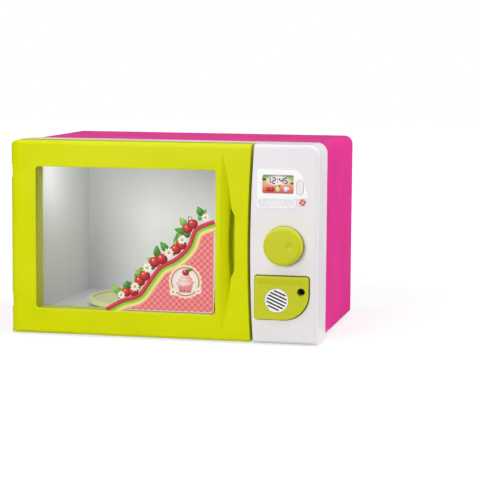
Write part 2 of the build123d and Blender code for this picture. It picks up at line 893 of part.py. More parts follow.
with BuildPart() as door_shell:
    with BuildSketch(front_plane(y_door_back)) as door_face:
        with BuildLine():
            ThreePointArc(
                (door_edge(x_door_waist, z_door_bottom), z_door_bottom),
                (x_door_waist, z_middle),
                (door_edge(x_door_waist, z_door_top), z_door_top),
            )
            Polyline(
                (door_edge(x_door_waist, z_door_top), z_door_top),
                (x_door_left, z_door_top),
                (x_door_left, z_door_bottom),
                (door_edge(x_door_waist, z_door_bottom), z_door_bottom),
            )
        make_face()
        hinge_end = door_face.vertices().group_by(Axis.X)[0].sort_by(Axis.Y)
        fillet(hinge_end[-1], bezel_corner - door_edge_inset)
        fillet(hinge_end[0], bezel_low_corner - door_edge_inset)
    extrude(amount=door_thickness)
    door_edges = door_shell.faces().sort_by(Axis.Y)[0].edges().sort_by(Axis.X)
    fillet(door_edges[:-1], door_edge_radius)
    door_edges = door_shell.faces().sort_by(Axis.Y)[0].edges().sort_by(Axis.X)
    fillet(door_edges[-1], gap_edge_radius)

    # Half-round end on the hinge line
    with BuildSketch(Plane.XY.offset(z_door_bottom)):
        with Locations((x_pivot, y_pivot)):
            Circle(door_thickness / 2)
            Rectangle(2 * x_bezel, door_thickness, align=(Align.MIN, Align.CENTER))
    extrude(amount=door_height, mode=Mode.INTERSECT)

    # Hollow behind the front wall, with the window through it
    with BuildSketch(front_plane(y_door_back)):
        with Locations(((x_pocket_left + x_handle_left) / 2, z_middle)):
            Rectangle(x_handle_left - x_pocket_left, door_height - 2 * door_rim)
    extrude(amount=door_thickness - door_front_wall, mode=Mode.SUBTRACT)
    with BuildSketch(front_plane(y_pane_front)):
        with Locations((window_x, window_z)):
            RectangleRounded(window_width, window_height, window_corner)
    extrude(amount=door_front_wall, mode=Mode.SUBTRACT)
    window_edge = door_shell.faces().filter_by(Axis.Y).sort_by(Axis.Y)[0].inner_wires()[0].edges()
    fillet(window_edge, window_edge_radius)

    # Screw bosses for the inner frame
    with BuildSketch(front_plane(y_door_back - inner_plate)):
        with Locations(door_screws):
            Circle(boss_radius)
    extrude(amount=door_thickness - inner_plate - door_front_wall)
    with BuildSketch(front_plane(y_door_back - inner_plate)):
        with Locations(door_screws):
            Circle(pilot_radius)
    extrude(amount=long_screw, mode=Mode.SUBTRACT)

    # Finger grip: the scoop, and the pocket that undercuts the handle's lip
    add(scoop.part, mode=Mode.SUBTRACT)
    with BuildSketch(front_plane(y_face + grip_depth)):
        grip_low = z_middle - grip_length / 2
        grip_high = z_middle + grip_length / 2
        with BuildLine():
            ThreePointArc(
                (crease_x(grip_low), grip_low),
                (x_crease - grip_front_width, z_middle),
                (crease_x(grip_high), grip_high),
            )
            ThreePointArc(
                (crease_x(grip_high), grip_high),
                (x_crease + grip_undercut, z_middle),
                (crease_x(grip_low), grip_low),
            )
        make_face()
    extrude(amount=grip_depth - lip_thickness, mode=Mode.SUBTRACT)
    with BuildSketch(front_plane(y_face + lip_thickness)):
        notch_low = z_middle - lip_notch_length / 2
        notch_high = z_middle + lip_notch_length / 2
        with BuildLine():
            Polyline(
                (crease_x(notch_low), notch_low),
                (x_crease + lip_notch, notch_low + lip_notch_ramp),
                (x_crease + lip_notch, notch_high - lip_notch_ramp),
                (crease_x(notch_high), notch_high),
                (crease_x(notch_low), notch_low),
            )
        make_face()
    extrude(amount=lip_thickness, mode=Mode.SUBTRACT)

    # Cores behind the ends of the handle and behind the hinge line
    core_left = x_handle_left + core_wall
    core_right = x_door_waist - core_wall
    with BuildSketch(front_plane(y_door_back)):
        for side in (-1, 1):
            core_z = z_middle + side * (door_height / 2 - core_wall - core_length / 2)
            with Locations(((core_left + core_right) / 2, core_z)):
                Rectangle(core_right - core_left, core_length)
        core_low = lug_bottoms[0] + lug_height + pin_end_grip + core_wall
        core_high = lug_bottoms[1] - pin_end_grip - core_wall
        with Locations((x_pivot + door_thickness / 6, (core_low + core_high) / 2)):
            Rectangle(door_thickness / 2, core_high - core_low)
    extrude(amount=core_depth, mode=Mode.SUBTRACT)

    # Notches round the hinge lugs, and bores for the pins
    for z_lug in lug_bottoms:
        with BuildSketch(Plane.XY.offset(z_lug - lug_gap)):
            with Locations((x_pivot, y_pivot)):
                Circle(knuckle_radius + knuckle_gap)
            reach = door_thickness
            with BuildLine():
                Polyline(
                    (x_pivot + lug_web / 2 + knuckle_gap, y_pivot),
                    (x_pivot + lug_web / 2 + knuckle_gap, y_pivot + reach),
                    (x_pivot - reach, y_pivot + reach),
                    (x_pivot - reach, y_pivot - reach * tan(radians(notch_angle))),
                    (x_pivot, y_pivot),
                    (x_pivot + lug_web / 2 + knuckle_gap, y_pivot),
                )
            make_face()
        extrude(amount=lug_height + 2 * lug_gap, mode=Mode.SUBTRACT)
        with BuildSketch(Plane.XY.offset(z_lug - pin_end_grip - assembly_gap)):
            with Locations((x_pivot, y_pivot)):
                Circle(pin_radius + running_gap)
        extrude(amount=lug_height + 2 * pin_end_grip + 2 * assembly_gap, mode=Mode.SUBTRACT)

    # Recess and holes for the catch
    with BuildSketch(front_plane(y_door_back)):
        with Locations((x_blade, z_middle)):
            Rectangle(catch_base_width + 2 * running_gap, catch_base_height + 2 * running_gap)
    extrude(amount=catch_base_thickness, mode=Mode.SUBTRACT)
    with BuildSketch(front_plane(y_catch_base)):
        with Locations(catch_screws):
            Circle(pilot_radius)
    extrude(amount=short_screw, mode=Mode.SUBTRACT)
save(door_shell.part, "door_shell")

with BuildPart() as door_inner_frame:
    plate_left = x_pocket_left + assembly_gap
    plate_right = x_handle_left - assembly_gap
    with BuildSketch(front_plane(y_door_back)):
        with Locations(((plate_left + plate_right) / 2, z_middle)):
            Rectangle(plate_right - plate_left, door_height - 2 * door_rim - 2 * assembly_gap)
    extrude(amount=inner_plate)
    with BuildSketch(front_plane(y_door_back)):
        with Locations((window_x, window_z)):
            Rectangle(window_width + 2 * tunnel_wall, window_height + 2 * tunnel_wall)
    extrude(amount=y_door_back - y_pane_back)
    with BuildSketch(front_plane(y_door_back)):
        with Locations((window_x, window_z)):
            Rectangle(window_width, window_height)
    extrude(amount=door_thickness, mode=Mode.SUBTRACT)
    with BuildSketch(front_plane(y_door_back)):
        with Locations(door_screws):
            Circle(through_radius)
    extrude(amount=inner_plate, mode=Mode.SUBTRACT)
    with BuildSketch(front_plane(y_door_back)):
        with Locations(door_screws):
            Circle(screw_head_radius + assembly_gap)
    extrude(amount=screw_sink, mode=Mode.SUBTRACT)
save(door_inner_frame.part, "door_inner_frame")

door_seats = [(x, y_door_back - screw_sink, z) for x, z in door_screws]
door_frame_screws = screws(door_seats, (0, -1, 0), short_screw)
save(door_frame_screws, "door_frame_screws")

with BuildPart() as window_pane:
    with BuildSketch(front_plane(y_pane_back)):
        with Locations((window_x, window_z)):
            Rectangle(window_width + 2 * window_seat, window_height + 2 * window_seat)
    extrude(amount=pane_thickness)
save(window_pane.part, "window_pane")

# Printed film in the window's lower right corner, with a waved upper edge
with BuildPart() as window_decal:
    decal_right = window_right - decal_margin
    decal_low = window_bottom + decal_margin
    with BuildSketch(front_plane(y_pane_front)) as film:
        with BuildLine():
            Spline(
                (decal_right - decal_reach, decal_low),
                *[
                    (decal_right - decal_reach * across, decal_low + decal_rise * up)
                    for across, up in decal_bends
                ],
                (decal_right, decal_low + decal_rise),
            )
            Polyline(
                (decal_right, decal_low + decal_rise),
                (decal_right, decal_low),
                (decal_right - decal_reach, decal_low),
            )
        make_face()
        corner = film.vertices().filter_by(lambda v: v.Y < decal_low + 1).sort_by(Axis.X)[-1]
        fillet(corner, window_corner - decal_margin)
    extrude(amount=decal_thickness)
save(window_decal.part, "window_decal")

for z_lug, node in zip(lug_bottoms, ("lower_hinge_pin", "upper_hinge_pin")):
    with BuildPart() as hinge_pin:
        with BuildSketch(Plane.XY.offset(z_lug - pin_end_grip)):
            with Locations((x_pivot, y_pivot)):
                Circle(pin_radius)
        extrude(amount=lug_height + 2 * pin_end_grip)
        chamfer(hinge_pin.edges().filter_by(GeomType.CIRCLE), pin_radius / 5)
    save(hinge_pin.part, node)

# ---------------------------------------------------------------- door catch

with BuildPart() as door_catch:
    with BuildSketch(front_plane(y_door_back)):
        with Locations((x_blade, z_middle)):
            Rectangle(catch_base_width, catch_base_height)
    extrude(amount=catch_base_thickness)
    with BuildSketch(front_plane(y_door_back + catch_reach)):
        with Locations((x_blade, z_middle)):
            Rectangle(catch_blade, catch_blade_height)
    extrude(amount=catch_reach)
    blade_tip = door_catch.faces().sort_by(Axis.Y)[-1]
    chamfer(blade_tip.edges().filter_by(Axis.Z), catch_blade / 4)
    with BuildSketch(front_plane(y_door_back)):
        with Locations(catch_screws):
            Circle(through_radius)
    extrude(amount=catch_base_thickness, mode=Mode.SUBTRACT)
    with BuildSketch(front_plane(y_door_back)):
        with Locations(catch_screws):
            Circle(screw_head_radius)
    extrude(amount=screw_sink, mode=Mode.SUBTRACT)
save(door_catch.part, "door_catch")

catch_seats = [(x, y_door_back - screw_sink, z) for x, z in catch_screws]
catch_screw_set = screws(catch_seats, (0, -1, 0), short_screw)
save(catch_screw_set, "catch_screws")

with BuildPart() as catch_clip:
    with BuildSketch(Plane.XY.offset(z_middle - catch_blade_height / 2)):
        leaf_front = y_frame + bezel_wall + assembly_gap
        with Locations((x_clip_leaf, leaf_front)):
            Rectangle(clip_leaf, y_clip_seat + clip_leaf - leaf_front, align=(Align.MIN, Align.MIN))
    extrude(amount=catch_blade_height / 2 + clip_screw_offset - clip_foot / 2)
    with BuildSketch(front_plane(y_clip_seat + clip_leaf)):
        with Locations((x_clip_leaf, z_middle + clip_screw_offset)):
            Rectangle(clip_leaf + 2 * boss_radius, clip_foot, align=(Align.MIN, Align.CENTER))
        with Locations((x_clip_leaf, z_middle + clip_screw_offset - clip_foot / 2)):
            Rectangle(clip_leaf * 2, clip_foot / 2, align=(Align.MIN, Align.CENTER))
        with Locations(clip_screw):
            Circle(through_radius, mode=Mode.SUBTRACT)
    extrude(amount=clip_leaf)
save(catch_clip.part, "catch_clip")

clip_seat = (clip_screw[0], y_clip_seat + clip_leaf, clip_screw[1])
clip_screw_part = screws([clip_seat], (0, -1, 0), clip_standoff)
save(clip_screw_part, "clip_screw")

# ---------------------------------------------------------------- knob and its click wheel

y_knob_front = y_face - knob_proud
y_knob_back = y_face + knob_pocket_depth - knob_seat_gap
y_shaft_front = y_knob_front + 2 * knob_wall

with BuildPart() as knob:
    with BuildSketch(front_plane(y_knob_back)):
        with Locations((knob_x, knob_z)):
            Circle(knob_radius)
    extrude(amount=y_knob_back - y_knob_front)
    fillet(knob.faces().sort_by(Axis.Y)[0].edges(), knob_edge_radius)
    with BuildSketch(front_plane(y_knob_back)):
        with Locations((knob_x, knob_z)):
            Circle(knob_radius - knob_wall)
            Circle(shaft_boss_radius, mode=Mode.SUBTRACT)
    extrude(amount=y_knob_back - y_knob_front - 2 * knob_wall, mode=Mode.SUBTRACT)
    with BuildSketch(front_plane(y_knob_back)):
        with Locations((knob_x, knob_z)):
            Circle(shaft_radius + running_gap)
    extrude(amount=y_knob_back - y_shaft_front, mode=Mode.SUBTRACT)
    dimple_ball = (knob_dimple_radius**2 + knob_dimple_depth**2) / (2 * knob_dimple_depth)
    with Locations((knob_x + knob_dimple_offset, y_knob_front + knob_dimple_depth - dimple_ball, knob_z)):
        Sphere(dimple_ball, mode=Mode.SUBTRACT)
save(knob.part, "knob")

with BuildPart() as knob_shaft:
    with BuildSketch(front_plane(y_shaft_clip + 2 * shaft_clip_thickness)):
        with Locations((knob_x, knob_z)):
            Circle(shaft_radius)
    extrude(amount=y_shaft_clip + 2 * shaft_clip_thickness - y_shaft_front)
    chamfer(knob_shaft.faces().sort_by(Axis.Y)[-1].edges(), shaft_radius / 8)
save(knob_shaft.part, "knob_shaft")

with BuildPart() as click_wheel:
    with BuildSketch(front_plane(y_click_wheel + click_wheel_thickness)):
        with Locations((knob_x, knob_z)):
            Circle(click_wheel_radius)
            Circle(shaft_radius + running_gap, mode=Mode.SUBTRACT)
            with PolarLocations(click_wheel_radius + click_notch_set, click_notches, start_angle=90):
                Circle(click_notch_radius, mode=Mode.SUBTRACT)
    extrude(amount=click_wheel_thickness)
save(click_wheel.part, "click_wheel")

with BuildPart() as shaft_clip:
    with BuildSketch(front_plane(y_shaft_clip + shaft_clip_thickness)):
        with Locations((knob_x, knob_z)):
            Circle(shaft_clip_radius)
            Circle(shaft_radius + running_gap, mode=Mode.SUBTRACT)
    extrude(amount=shaft_clip_thickness)
save(shaft_clip.part, "shaft_clip")

with BuildPart() as click_spring:
    with BuildSketch(front_plane(y_click_wheel + click_wheel_thickness)):
        with Locations((knob_x, z_click_nose)):
            Circle(click_nose_radius)
        leaf_start = click_post[0] + click_tab / 2 - click_overlap
        with Locations((leaf_start, z_click_nose + click_nose_radius / 2)):
            leaf_length = knob_x + click_nose_radius - leaf_start
            Rectangle(leaf_length, click_spring_leaf, align=(Align.MIN, Align.MIN))
    extrude(amount=click_wheel_thickness)
    with BuildSketch(front_plane(y_click_wheel + click_spring_leaf)):
        with Locations(click_post):
            Rectangle(click_tab, click_tab)
            Circle(through_radius, mode=Mode.SUBTRACT)
    extrude(amount=click_spring_leaf)
save(click_spring.part, "click_spring")

click_seat = (click_post[0], y_click_wheel + click_spring_leaf, click_post[1])
click_screw = screws([click_seat], (0, -1, 0), short_screw)
save(click_screw, "click_spring_screw")

# ---------------------------------------------------------------- display, button, lamp and board

with BuildPart() as display_label:
    with BuildSketch(front_plane(y_face)):
        with Locations((label_x, label_z)):
            RectangleRounded(label_width, label_height, label_corner)
    extrude(amount=label_thickness)
save(display_label.part, "display_label")

with BuildPart() as start_button:
    with BuildSketch(front_plane(y_button_flange)):
        with Locations((button_x, button_z)):
            SlotOverall(button_height, button_width, rotation=90)
    extrude(amount=y_button_flange - y_face + button_proud)
    fillet(start_button.faces().sort_by(Axis.Y)[0].edges(), button_proud / 2)
    with BuildSketch(front_plane(y_button_back)):
        with Locations((button_x, button_z)):
            SlotOverall(button_height + 2 * button_flange, button_width + 2 * button_flange, rotation=90)
    extrude(amount=button_flange_thickness)
    stem_length = y_switch_cap - button_travel - assembly_gap - y_button_back
    with BuildSketch(front_plane(y_button_back + stem_length)):
        with Locations((button_x, button_z + button_stem_offset)):
            Circle(switch_cap_radius)
    extrude(amount=stem_length)
    with BuildSketch(front_plane(y_button_back + stem_length / 2)):
        with Locations((button_x, button_z - button_stem_offset)):
            Circle(spring_radius - spring_wire - assembly_gap)
    extrude(amount=stem_length / 2)
save(start_button.part, "start_button")

with BuildPart() as button_spring:
    with BuildLine() as coil:
        Helix(
            pitch=(y_board - y_button_back - spring_wire) / spring_turns,
            height=y_board - y_button_back - spring_wire,
            radius=spring_radius,
            center=(button_x, y_button_back + spring_wire / 2, button_z - button_stem_offset),
            direction=(0, 1, 0),
        )
    with BuildSketch(Plane(origin=coil.line @ 0, z_dir=coil.line % 0)):
        Circle(spring_wire / 2)
    sweep(path=coil.line, is_frenet=True)
save(button_spring.part, "button_spring")

with BuildPart() as tact_switch:
    with BuildSketch(front_plane(y_board)):
        with Locations((button_x, button_z + button_stem_offset)):
            Rectangle(switch_size, switch_size)
    extrude(amount=switch_height)
    with BuildSketch(front_plane(y_board - switch_height)):
        with Locations((button_x, button_z + button_stem_offset)):
            Circle(switch_cap_radius)
    extrude(amount=switch_cap_height)
save(tact_switch.part, "tact_switch")

with BuildPart() as lamp_lens:
    with BuildSketch(front_plane(y_panel_inner)):
        with Locations((lamp_x, lamp_z)):
            Circle(lamp_radius)
    extrude(amount=bezel_wall)
    with BuildSketch(front_plane(y_panel_inner + led_collar)):
        with Locations((lamp_x, lamp_z)):
            Circle(lamp_radius + led_collar)
    extrude(amount=led_collar)
    with BuildSketch(front_plane(y_face)):
        with Locations((lamp_x, lamp_z)):
            with PolarLocations(lamp_dot_spacing, 4, start_angle=lamp_dot_turn):
                Circle(lamp_dot_radius)
    extrude(amount=lamp_proud)
save(lamp_lens.part, "lamp_lens")

with BuildPart() as led:
    y_led_front = y_panel_inner + led_collar + assembly_gap
    with BuildSketch(front_plane(y_led_front + led_length)):
        with Locations((lamp_x, lamp_z)):
            Circle(led_radius)
    extrude(amount=led_length)
    fillet(led.faces().sort_by(Axis.Y)[0].edges(), led_dome_radius)
    with BuildSketch(front_plane(y_board)):
        with Locations((lamp_x, lamp_z)):
            with GridLocations(led_radius, 0, 2, 1):
                Rectangle(contact_thickness, contact_thickness)
    extrude(amount=y_board - y_led_front - led_length)
save(led.part, "led")

with BuildPart() as circuit_board:
    with BuildSketch(front_plane(y_board + board_thickness)):
        with Locations((board_x, board_z)):
            Rectangle(board_width, board_height)
        with Locations(board_posts):
            Circle(through_radius, mode=Mode.SUBTRACT)
    extrude(amount=board_thickness)
save(circuit_board.part, "circuit_board")

with BuildPart() as sound_chip:
    with BuildSketch(front_plane(y_board + board_thickness + chip_thickness)):
        with Locations((board_x, board_z)):
            Rectangle(chip_width, chip_height)
    extrude(amount=chip_thickness)
    chamfer(sound_chip.faces().sort_by(Axis.Y)[-1].edges(), chip_thickness / 5)
save(sound_chip.part, "sound_chip")

board_seats = [(x, y_board + board_thickness, z) for x, z in board_posts]
board_screws = screws(board_seats, (0, -1, 0), short_screw)
save(board_screws, "board_screws")

# ---------------------------------------------------------------- sound module

cone_outer = speaker_radius - speaker_rim - running_gap
cone_inner = speaker_throat - speaker_rim
cone_depth = speaker_depth - speaker_rim / 2 - cone_paper - assembly_gap
y_well_floor = y_cover_front + cover_well_depth
y_well_end = y_well_floor + cover_well_floor

with BuildPart() as module_cover:
    with BuildSketch(front_plane(y_cover_back)):
        add(module_outline(0))
    extrude(amount=module_plate)
    fillet(module_cover.faces().sort_by(Axis.Y)[0].edges(), module_edge_radius)
    with BuildSketch(front_plane(y_panel_inner)) as skirt:
        add(module_outline(0))
        add(module_outline(-module_skirt), mode=Mode.SUBTRACT)
    extrude(amount=y_panel_inner - y_cover_back)

    # Faint slanted ribs along the top
    with BuildSketch(front_plane(y_cover_front)):
        with Locations((module_x, module_z + module_height / 2 - module_band_drop)):
            with GridLocations(module_width / (module_ribs + 1), 0, module_ribs, 1):
                Rectangle(rib_width, module_band_drop, rotation=rib_tilt)
    extrude(amount=module_rib_height)

    # Seat for the grille and ring for the speaker
    with BuildSketch(front_plane(y_cover_front + grille_thickness - grille_proud)):
        with Locations((grille_x, grille_z)):
            Circle(grille_radius + grille_gap)
    extrude(amount=grille_thickness, mode=Mode.SUBTRACT)
    with BuildSketch(front_plane(y_cover_back)):
        with Locations((grille_x, grille_z)):
            Circle(speaker_radius - speaker_rim / 2)
    extrude(amount=module_plate, mode=Mode.SUBTRACT)
    with BuildSketch(front_plane(y_cover_back + speaker_ring_depth)):
        with Locations((grille_x, grille_z)):
            Circle(speaker_radius + running_gap + speaker_ring_wall)
            Circle(speaker_radius + running_gap, mode=Mode.SUBTRACT)
    extrude(amount=speaker_ring_depth)

    # Deep well for the cover screw
    with BuildSketch(front_plane(y_well_end)):
        with Locations(cover_screw):
            Circle(cover_well_radius + cover_well_wall)
    extrude(amount=y_well_end - y_cover_back)
    with BuildSketch(front_plane(y_well_floor)):
        with Locations(cover_screw):
            Circle(cover_well_radius)
    extrude(amount=cover_well_depth, mode=Mode.SUBTRACT)
    with BuildSketch(front_plane(y_well_end)):
        with Locations(cover_screw):
            Circle(through_radius)
    extrude(amount=cover_well_floor, mode=Mode.SUBTRACT)
save(module_cover.part, "module_cover")

cover_seat = (cover_screw[0], y_well_floor, cover_screw[1])
cover_screw_part = screws([cover_seat], (0, 1, 0), short_screw, cover_head_radius)
save(cover_screw_part, "cover_screw")

with BuildPart() as speaker_grille:
    with BuildSketch(front_plane(y_cover_front + grille_thickness - grille_proud)):
        with Locations((grille_x, grille_z)):
            Circle(grille_radius)
    extrude(amount=grille_thickness)
    chamfer(speaker_grille.faces().sort_by(Axis.Y)[0].edges(), grille_proud / 2)
    with BuildSketch(Plane(
        origin=(grille_x, y_cover_front + grille_thickness, grille_z),
        x_dir=(cos(radians(grille_tilt)), 0, sin(radians(grille_tilt))),
        z_dir=(0, -1, 0),
    )):
        for row in range(grille_slots):
            rise = (row - (grille_slots - 1) / 2) * grille_slot_pitch
            chord = 2 * sqrt((grille_slot_length / 2 + grille_slot_width) ** 2 - rise**2)
            with Locations((0, rise)):
                SlotOverall(chord, grille_slot_width)
    extrude(amount=2 * grille_thickness, mode=Mode.SUBTRACT)
save(speaker_grille.part, "speaker_grille")

with BuildPart() as speaker_basket:
    with BuildSketch(Plane(origin=(grille_x, y_cover_back, grille_z))):
        with BuildLine():
            Polyline(
                (speaker_radius, 0),
                (speaker_radius, speaker_rim),
                (magnet_radius, speaker_depth),
                (0, speaker_depth),
                (0, speaker_depth - speaker_rim / 2),
                (speaker_throat, speaker_depth - speaker_rim / 2),
                (speaker_radius - speaker_rim, speaker_rim / 2),
                (speaker_radius - speaker_rim, 0),
                (speaker_radius, 0),
            )
        make_face()
    revolve(axis=Axis((grille_x, 0, grille_z), (0, 1, 0)))
save(speaker_basket.part, "speaker_basket")

with BuildPart() as speaker_cone:
    with BuildSketch(Plane(origin=(grille_x, y_cover_back, grille_z))):
        with BuildLine():
            Polyline(
                (cone_outer, cone_setback),
                (cone_inner, cone_depth),
                (0, cone_depth),
                (0, cone_depth + cone_paper),
                (cone_inner, cone_depth + cone_paper),
                (cone_outer, cone_setback + cone_paper),
                (cone_outer, cone_setback),
            )
        make_face()
    revolve(axis=Axis((grille_x, 0, grille_z), (0, 1, 0)))
save(speaker_cone.part, "speaker_cone")

with BuildPart() as speaker_magnet:
    with BuildSketch(front_plane(y_cover_back + speaker_depth + magnet_thickness)):
        with Locations((grille_x, grille_z)):
            Circle(magnet_radius)
    extrude(amount=magnet_thickness)
    chamfer(speaker_magnet.faces().sort_by(Axis.Y)[-1].edges(), magnet_thickness / 6)
save(speaker_magnet.part, "speaker_magnet")

with BuildPart() as module_tray:
    with BuildSketch(front_plane(y_panel_inner + tray_wall)):
        add(module_outline(module_gap + tray_flange))
        with Locations((module_x - module_width / 2 - module_gap - tray_flange, module_z)):
            Rectangle(2 * tray_flange, 2 * module_height, mode=Mode.SUBTRACT)
    extrude(amount=tray_wall)
    with BuildSketch(front_plane(y_tray_floor + tray_wall)):
        add(module_outline(-module_skirt + tray_wall))
    extrude(amount=y_tray_floor + tray_wall - y_panel_inner)
    with BuildSketch(front_plane(y_panel_inner + tray_ear_rise + tray_wall)):
        for x, z in tray_ears:
            towards_tray = 1 if z < module_z else -1
            with Locations((x, z + towards_tray * tray_ear_reach / 2)):
                Rectangle(tray_ear_width, tray_ear_width + tray_ear_reach)
    extrude(amount=tray_wall)
    with BuildSketch(front_plane(y_tray_floor)):
        add(module_outline(-module_skirt))
    extrude(amount=y_tray_floor - y_panel_inner, mode=Mode.SUBTRACT)
    with BuildSketch(front_plane(y_panel_inner + tray_ear_rise + tray_wall)):
        with Locations(tray_ears):
            Circle(through_radius)
    extrude(amount=tray_wall, mode=Mode.SUBTRACT)

    # Column for the cover screw and cup for the cells
    with BuildSketch(front_plane(y_tray_floor)):
        with Locations(cover_screw):
            Circle(boss_radius)
    extrude(amount=y_tray_floor - y_well_end)
    with BuildSketch(front_plane(y_tray_floor)):
        with Locations(cover_screw):
            Circle(pilot_radius)
    extrude(amount=y_tray_floor - y_well_end, mode=Mode.SUBTRACT)
    cup_depth = contact_thickness + cell_count * cell_height
    with BuildSketch(front_plane(y_tray_floor)):
        with Locations(cell_stack):
            Circle(cell_radius + cell_gap + cell_cup_wall)
            Circle(cell_radius + cell_gap, mode=Mode.SUBTRACT)
    extrude(amount=cup_depth)

    # Way out for the leads
    with BuildSketch(Plane.XY.offset(module_z + module_height / 2 - module_skirt)):
        with Locations((x_leads, y_leads)):
            Rectangle(4 * wire_spacing, 2 * wire_spacing)
    extrude(amount=tray_wall, mode=Mode.SUBTRACT)
save(module_tray.part, "module_tray")

tray_seats = [(x, y_panel_inner + tray_ear_rise + tray_wall, z) for x, z in tray_ears]
tray_screws = screws(tray_seats, (0, -1, 0), tray_ear_rise)
save(tray_screws, "tray_screws")

with BuildPart() as button_cells:
    for index in range(cell_count):
        y_cell = y_tray_floor - contact_thickness - index * cell_height
        with BuildSketch(front_plane(y_cell)):
            with Locations(cell_stack):
                Circle(cell_radius)
        extrude(amount=cell_height - cell_cap_height)
        with BuildSketch(front_plane(y_cell - cell_height + cell_cap_height)):
            with Locations(cell_stack):
                Circle(cell_cap_radius)
        extrude(amount=cell_cap_height - running_gap)
save(button_cells.part, "button_cells")

with BuildPart() as rear_contact:
    with BuildSketch(front_plane(y_tray_floor)):
        with Locations(cell_stack):
            Circle(contact_radius)
    extrude(amount=contact_thickness)
save(rear_contact.part, "rear_contact")

with BuildPart() as front_contact:
    y_cells_front = y_tray_floor - cup_depth
    with BuildSketch(Plane.XY.offset(cell_stack[1] - contact_width / 2)):
        with Locations((cell_stack[0], y_cover_back)):
            Rectangle(2 * contact_width, contact_thickness, align=(Align.CENTER, Align.MIN))
        with Locations((cell_stack[0] - contact_width, y_cover_back)):
            Rectangle(contact_thickness, y_cells_front - y_cover_back, align=(Align.MIN, Align.MIN))
        with Locations((cell_stack[0] - contact_width, y_cells_front)):
            Rectangle(contact_leaf, contact_thickness, align=(Align.MIN, Align.MAX))
    extrude(amount=contact_width)
save(front_contact.part, "front_contact")

# Leads from the speaker and the cells up to the circuit board
with BuildPart() as leads:
    for side in (-1, 1):
        x_speaker = grille_x + side * wire_spacing / 2
        x_lead = x_leads + side * wire_spacing / 2
        with BuildLine() as route:
            FilletPolyline(
                (x_speaker, y_cover_back + speaker_depth + magnet_thickness, grille_z),
                (x_speaker, y_leads, grille_z),
                (x_lead, y_leads, (grille_z + module_z + module_height / 2) / 2),
                (x_lead, y_leads, board_z - board_height / 2 + lead_overlap),
                radius=lead_bend,
            )
        with BuildSketch(Plane(origin=route.line @ 0, z_dir=route.line % 0)):
            Circle(wire_radius)
        sweep(path=route.line)
save(leads.part, "leads")
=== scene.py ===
# %% [markdown]
# # A play microwave, dressed in its finishes
# The moulded parts are already modelled at their real size, and this lesson adds what the eye
# reads as material: gloss, grain, printed ink and light. Every step first says what the piece
# or the finish is on the real toy, how it could be made, and why it is made this way.
#
# All lengths are in metres in Blender. Prints are drawn in millimetres, because a maker's
# drawing would be, and one factor turns them to metres.

# %% Load the moulded parts
import json
import math

import bmesh
import bpy
from mathutils import Matrix, Vector


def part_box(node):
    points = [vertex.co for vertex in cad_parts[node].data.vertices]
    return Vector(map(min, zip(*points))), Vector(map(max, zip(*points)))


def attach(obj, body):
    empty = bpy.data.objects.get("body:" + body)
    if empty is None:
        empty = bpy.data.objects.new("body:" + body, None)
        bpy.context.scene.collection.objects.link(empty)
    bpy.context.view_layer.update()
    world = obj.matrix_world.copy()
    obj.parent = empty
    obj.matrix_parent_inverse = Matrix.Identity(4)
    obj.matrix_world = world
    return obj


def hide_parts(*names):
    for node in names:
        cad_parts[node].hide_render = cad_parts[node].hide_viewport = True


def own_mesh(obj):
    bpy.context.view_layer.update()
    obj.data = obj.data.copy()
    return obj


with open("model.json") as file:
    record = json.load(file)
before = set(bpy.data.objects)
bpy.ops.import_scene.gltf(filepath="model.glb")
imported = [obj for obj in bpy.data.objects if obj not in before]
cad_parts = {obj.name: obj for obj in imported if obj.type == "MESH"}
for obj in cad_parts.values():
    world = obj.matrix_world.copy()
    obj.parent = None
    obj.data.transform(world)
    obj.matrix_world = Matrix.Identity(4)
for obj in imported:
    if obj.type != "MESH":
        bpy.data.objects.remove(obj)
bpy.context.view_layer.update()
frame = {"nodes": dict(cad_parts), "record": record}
nodes = frame["nodes"]
scene = bpy.context.scene
MM = 0.001

# %% [markdown]
# ## Camera
# A toy is shown through a long lens from a little to one side and a little above, so that its
# front stays nearly flat and one side still shows. The camera could be aimed with a Track To
# constraint, but plain angles are easier to set to a tenth of a degree. They are applied in the
# order in which a tripod's head moves: turn, tilt, then level.

# %% Camera
CAMERA_PLACE = (0.5565, -2.1950, 0.3678)
CAMERA_TURN, CAMERA_TILT, CAMERA_LEVEL = 12.454, 6.459, 0.397
SENSOR_WIDTH_MM, FOCAL_LENGTH_MM = 36, 130.56
lens = bpy.data.cameras.new("long_lens")
lens.sensor_width = SENSOR_WIDTH_MM
lens.lens = FOCAL_LENGTH_MM
camera = bpy.data.objects.new("camera", lens)
camera.matrix_world = (
    Matrix.Translation(CAMERA_PLACE)
    @ Matrix.Rotation(math.radians(CAMERA_TURN), 4, "Z")
    @ Matrix.Rotation(math.radians(90 - CAMERA_TILT), 4, "X")
    @ Matrix.Rotation(math.radians(CAMERA_LEVEL), 4, "Z")
)
scene.collection.objects.link(camera)
scene.camera = camera
print("camera", CAMERA_PLACE, "lens", lens.lens)

# %% [markdown]
# ## Colours and nodes
# A colour chart gives sRGB hex values, but a shader works in linear light, so one function
# turns the first into the second. Another one adds a node, sets what is fixed and links what is
# not, which keeps a material readable as a list of what feeds what. A third one starts a material.

# %% Three helpers for every material
def linear(hex_colour):
    """An sRGB hex colour as the linear RGBA that shaders take."""
    channels = [int(hex_colour[i : i + 2], 16) / 255 for i in (1, 3, 5)]
    return (*[c / 12.92 if c <= 0.04045 else ((c + 0.055) / 1.055) ** 2.4 for c in channels], 1)


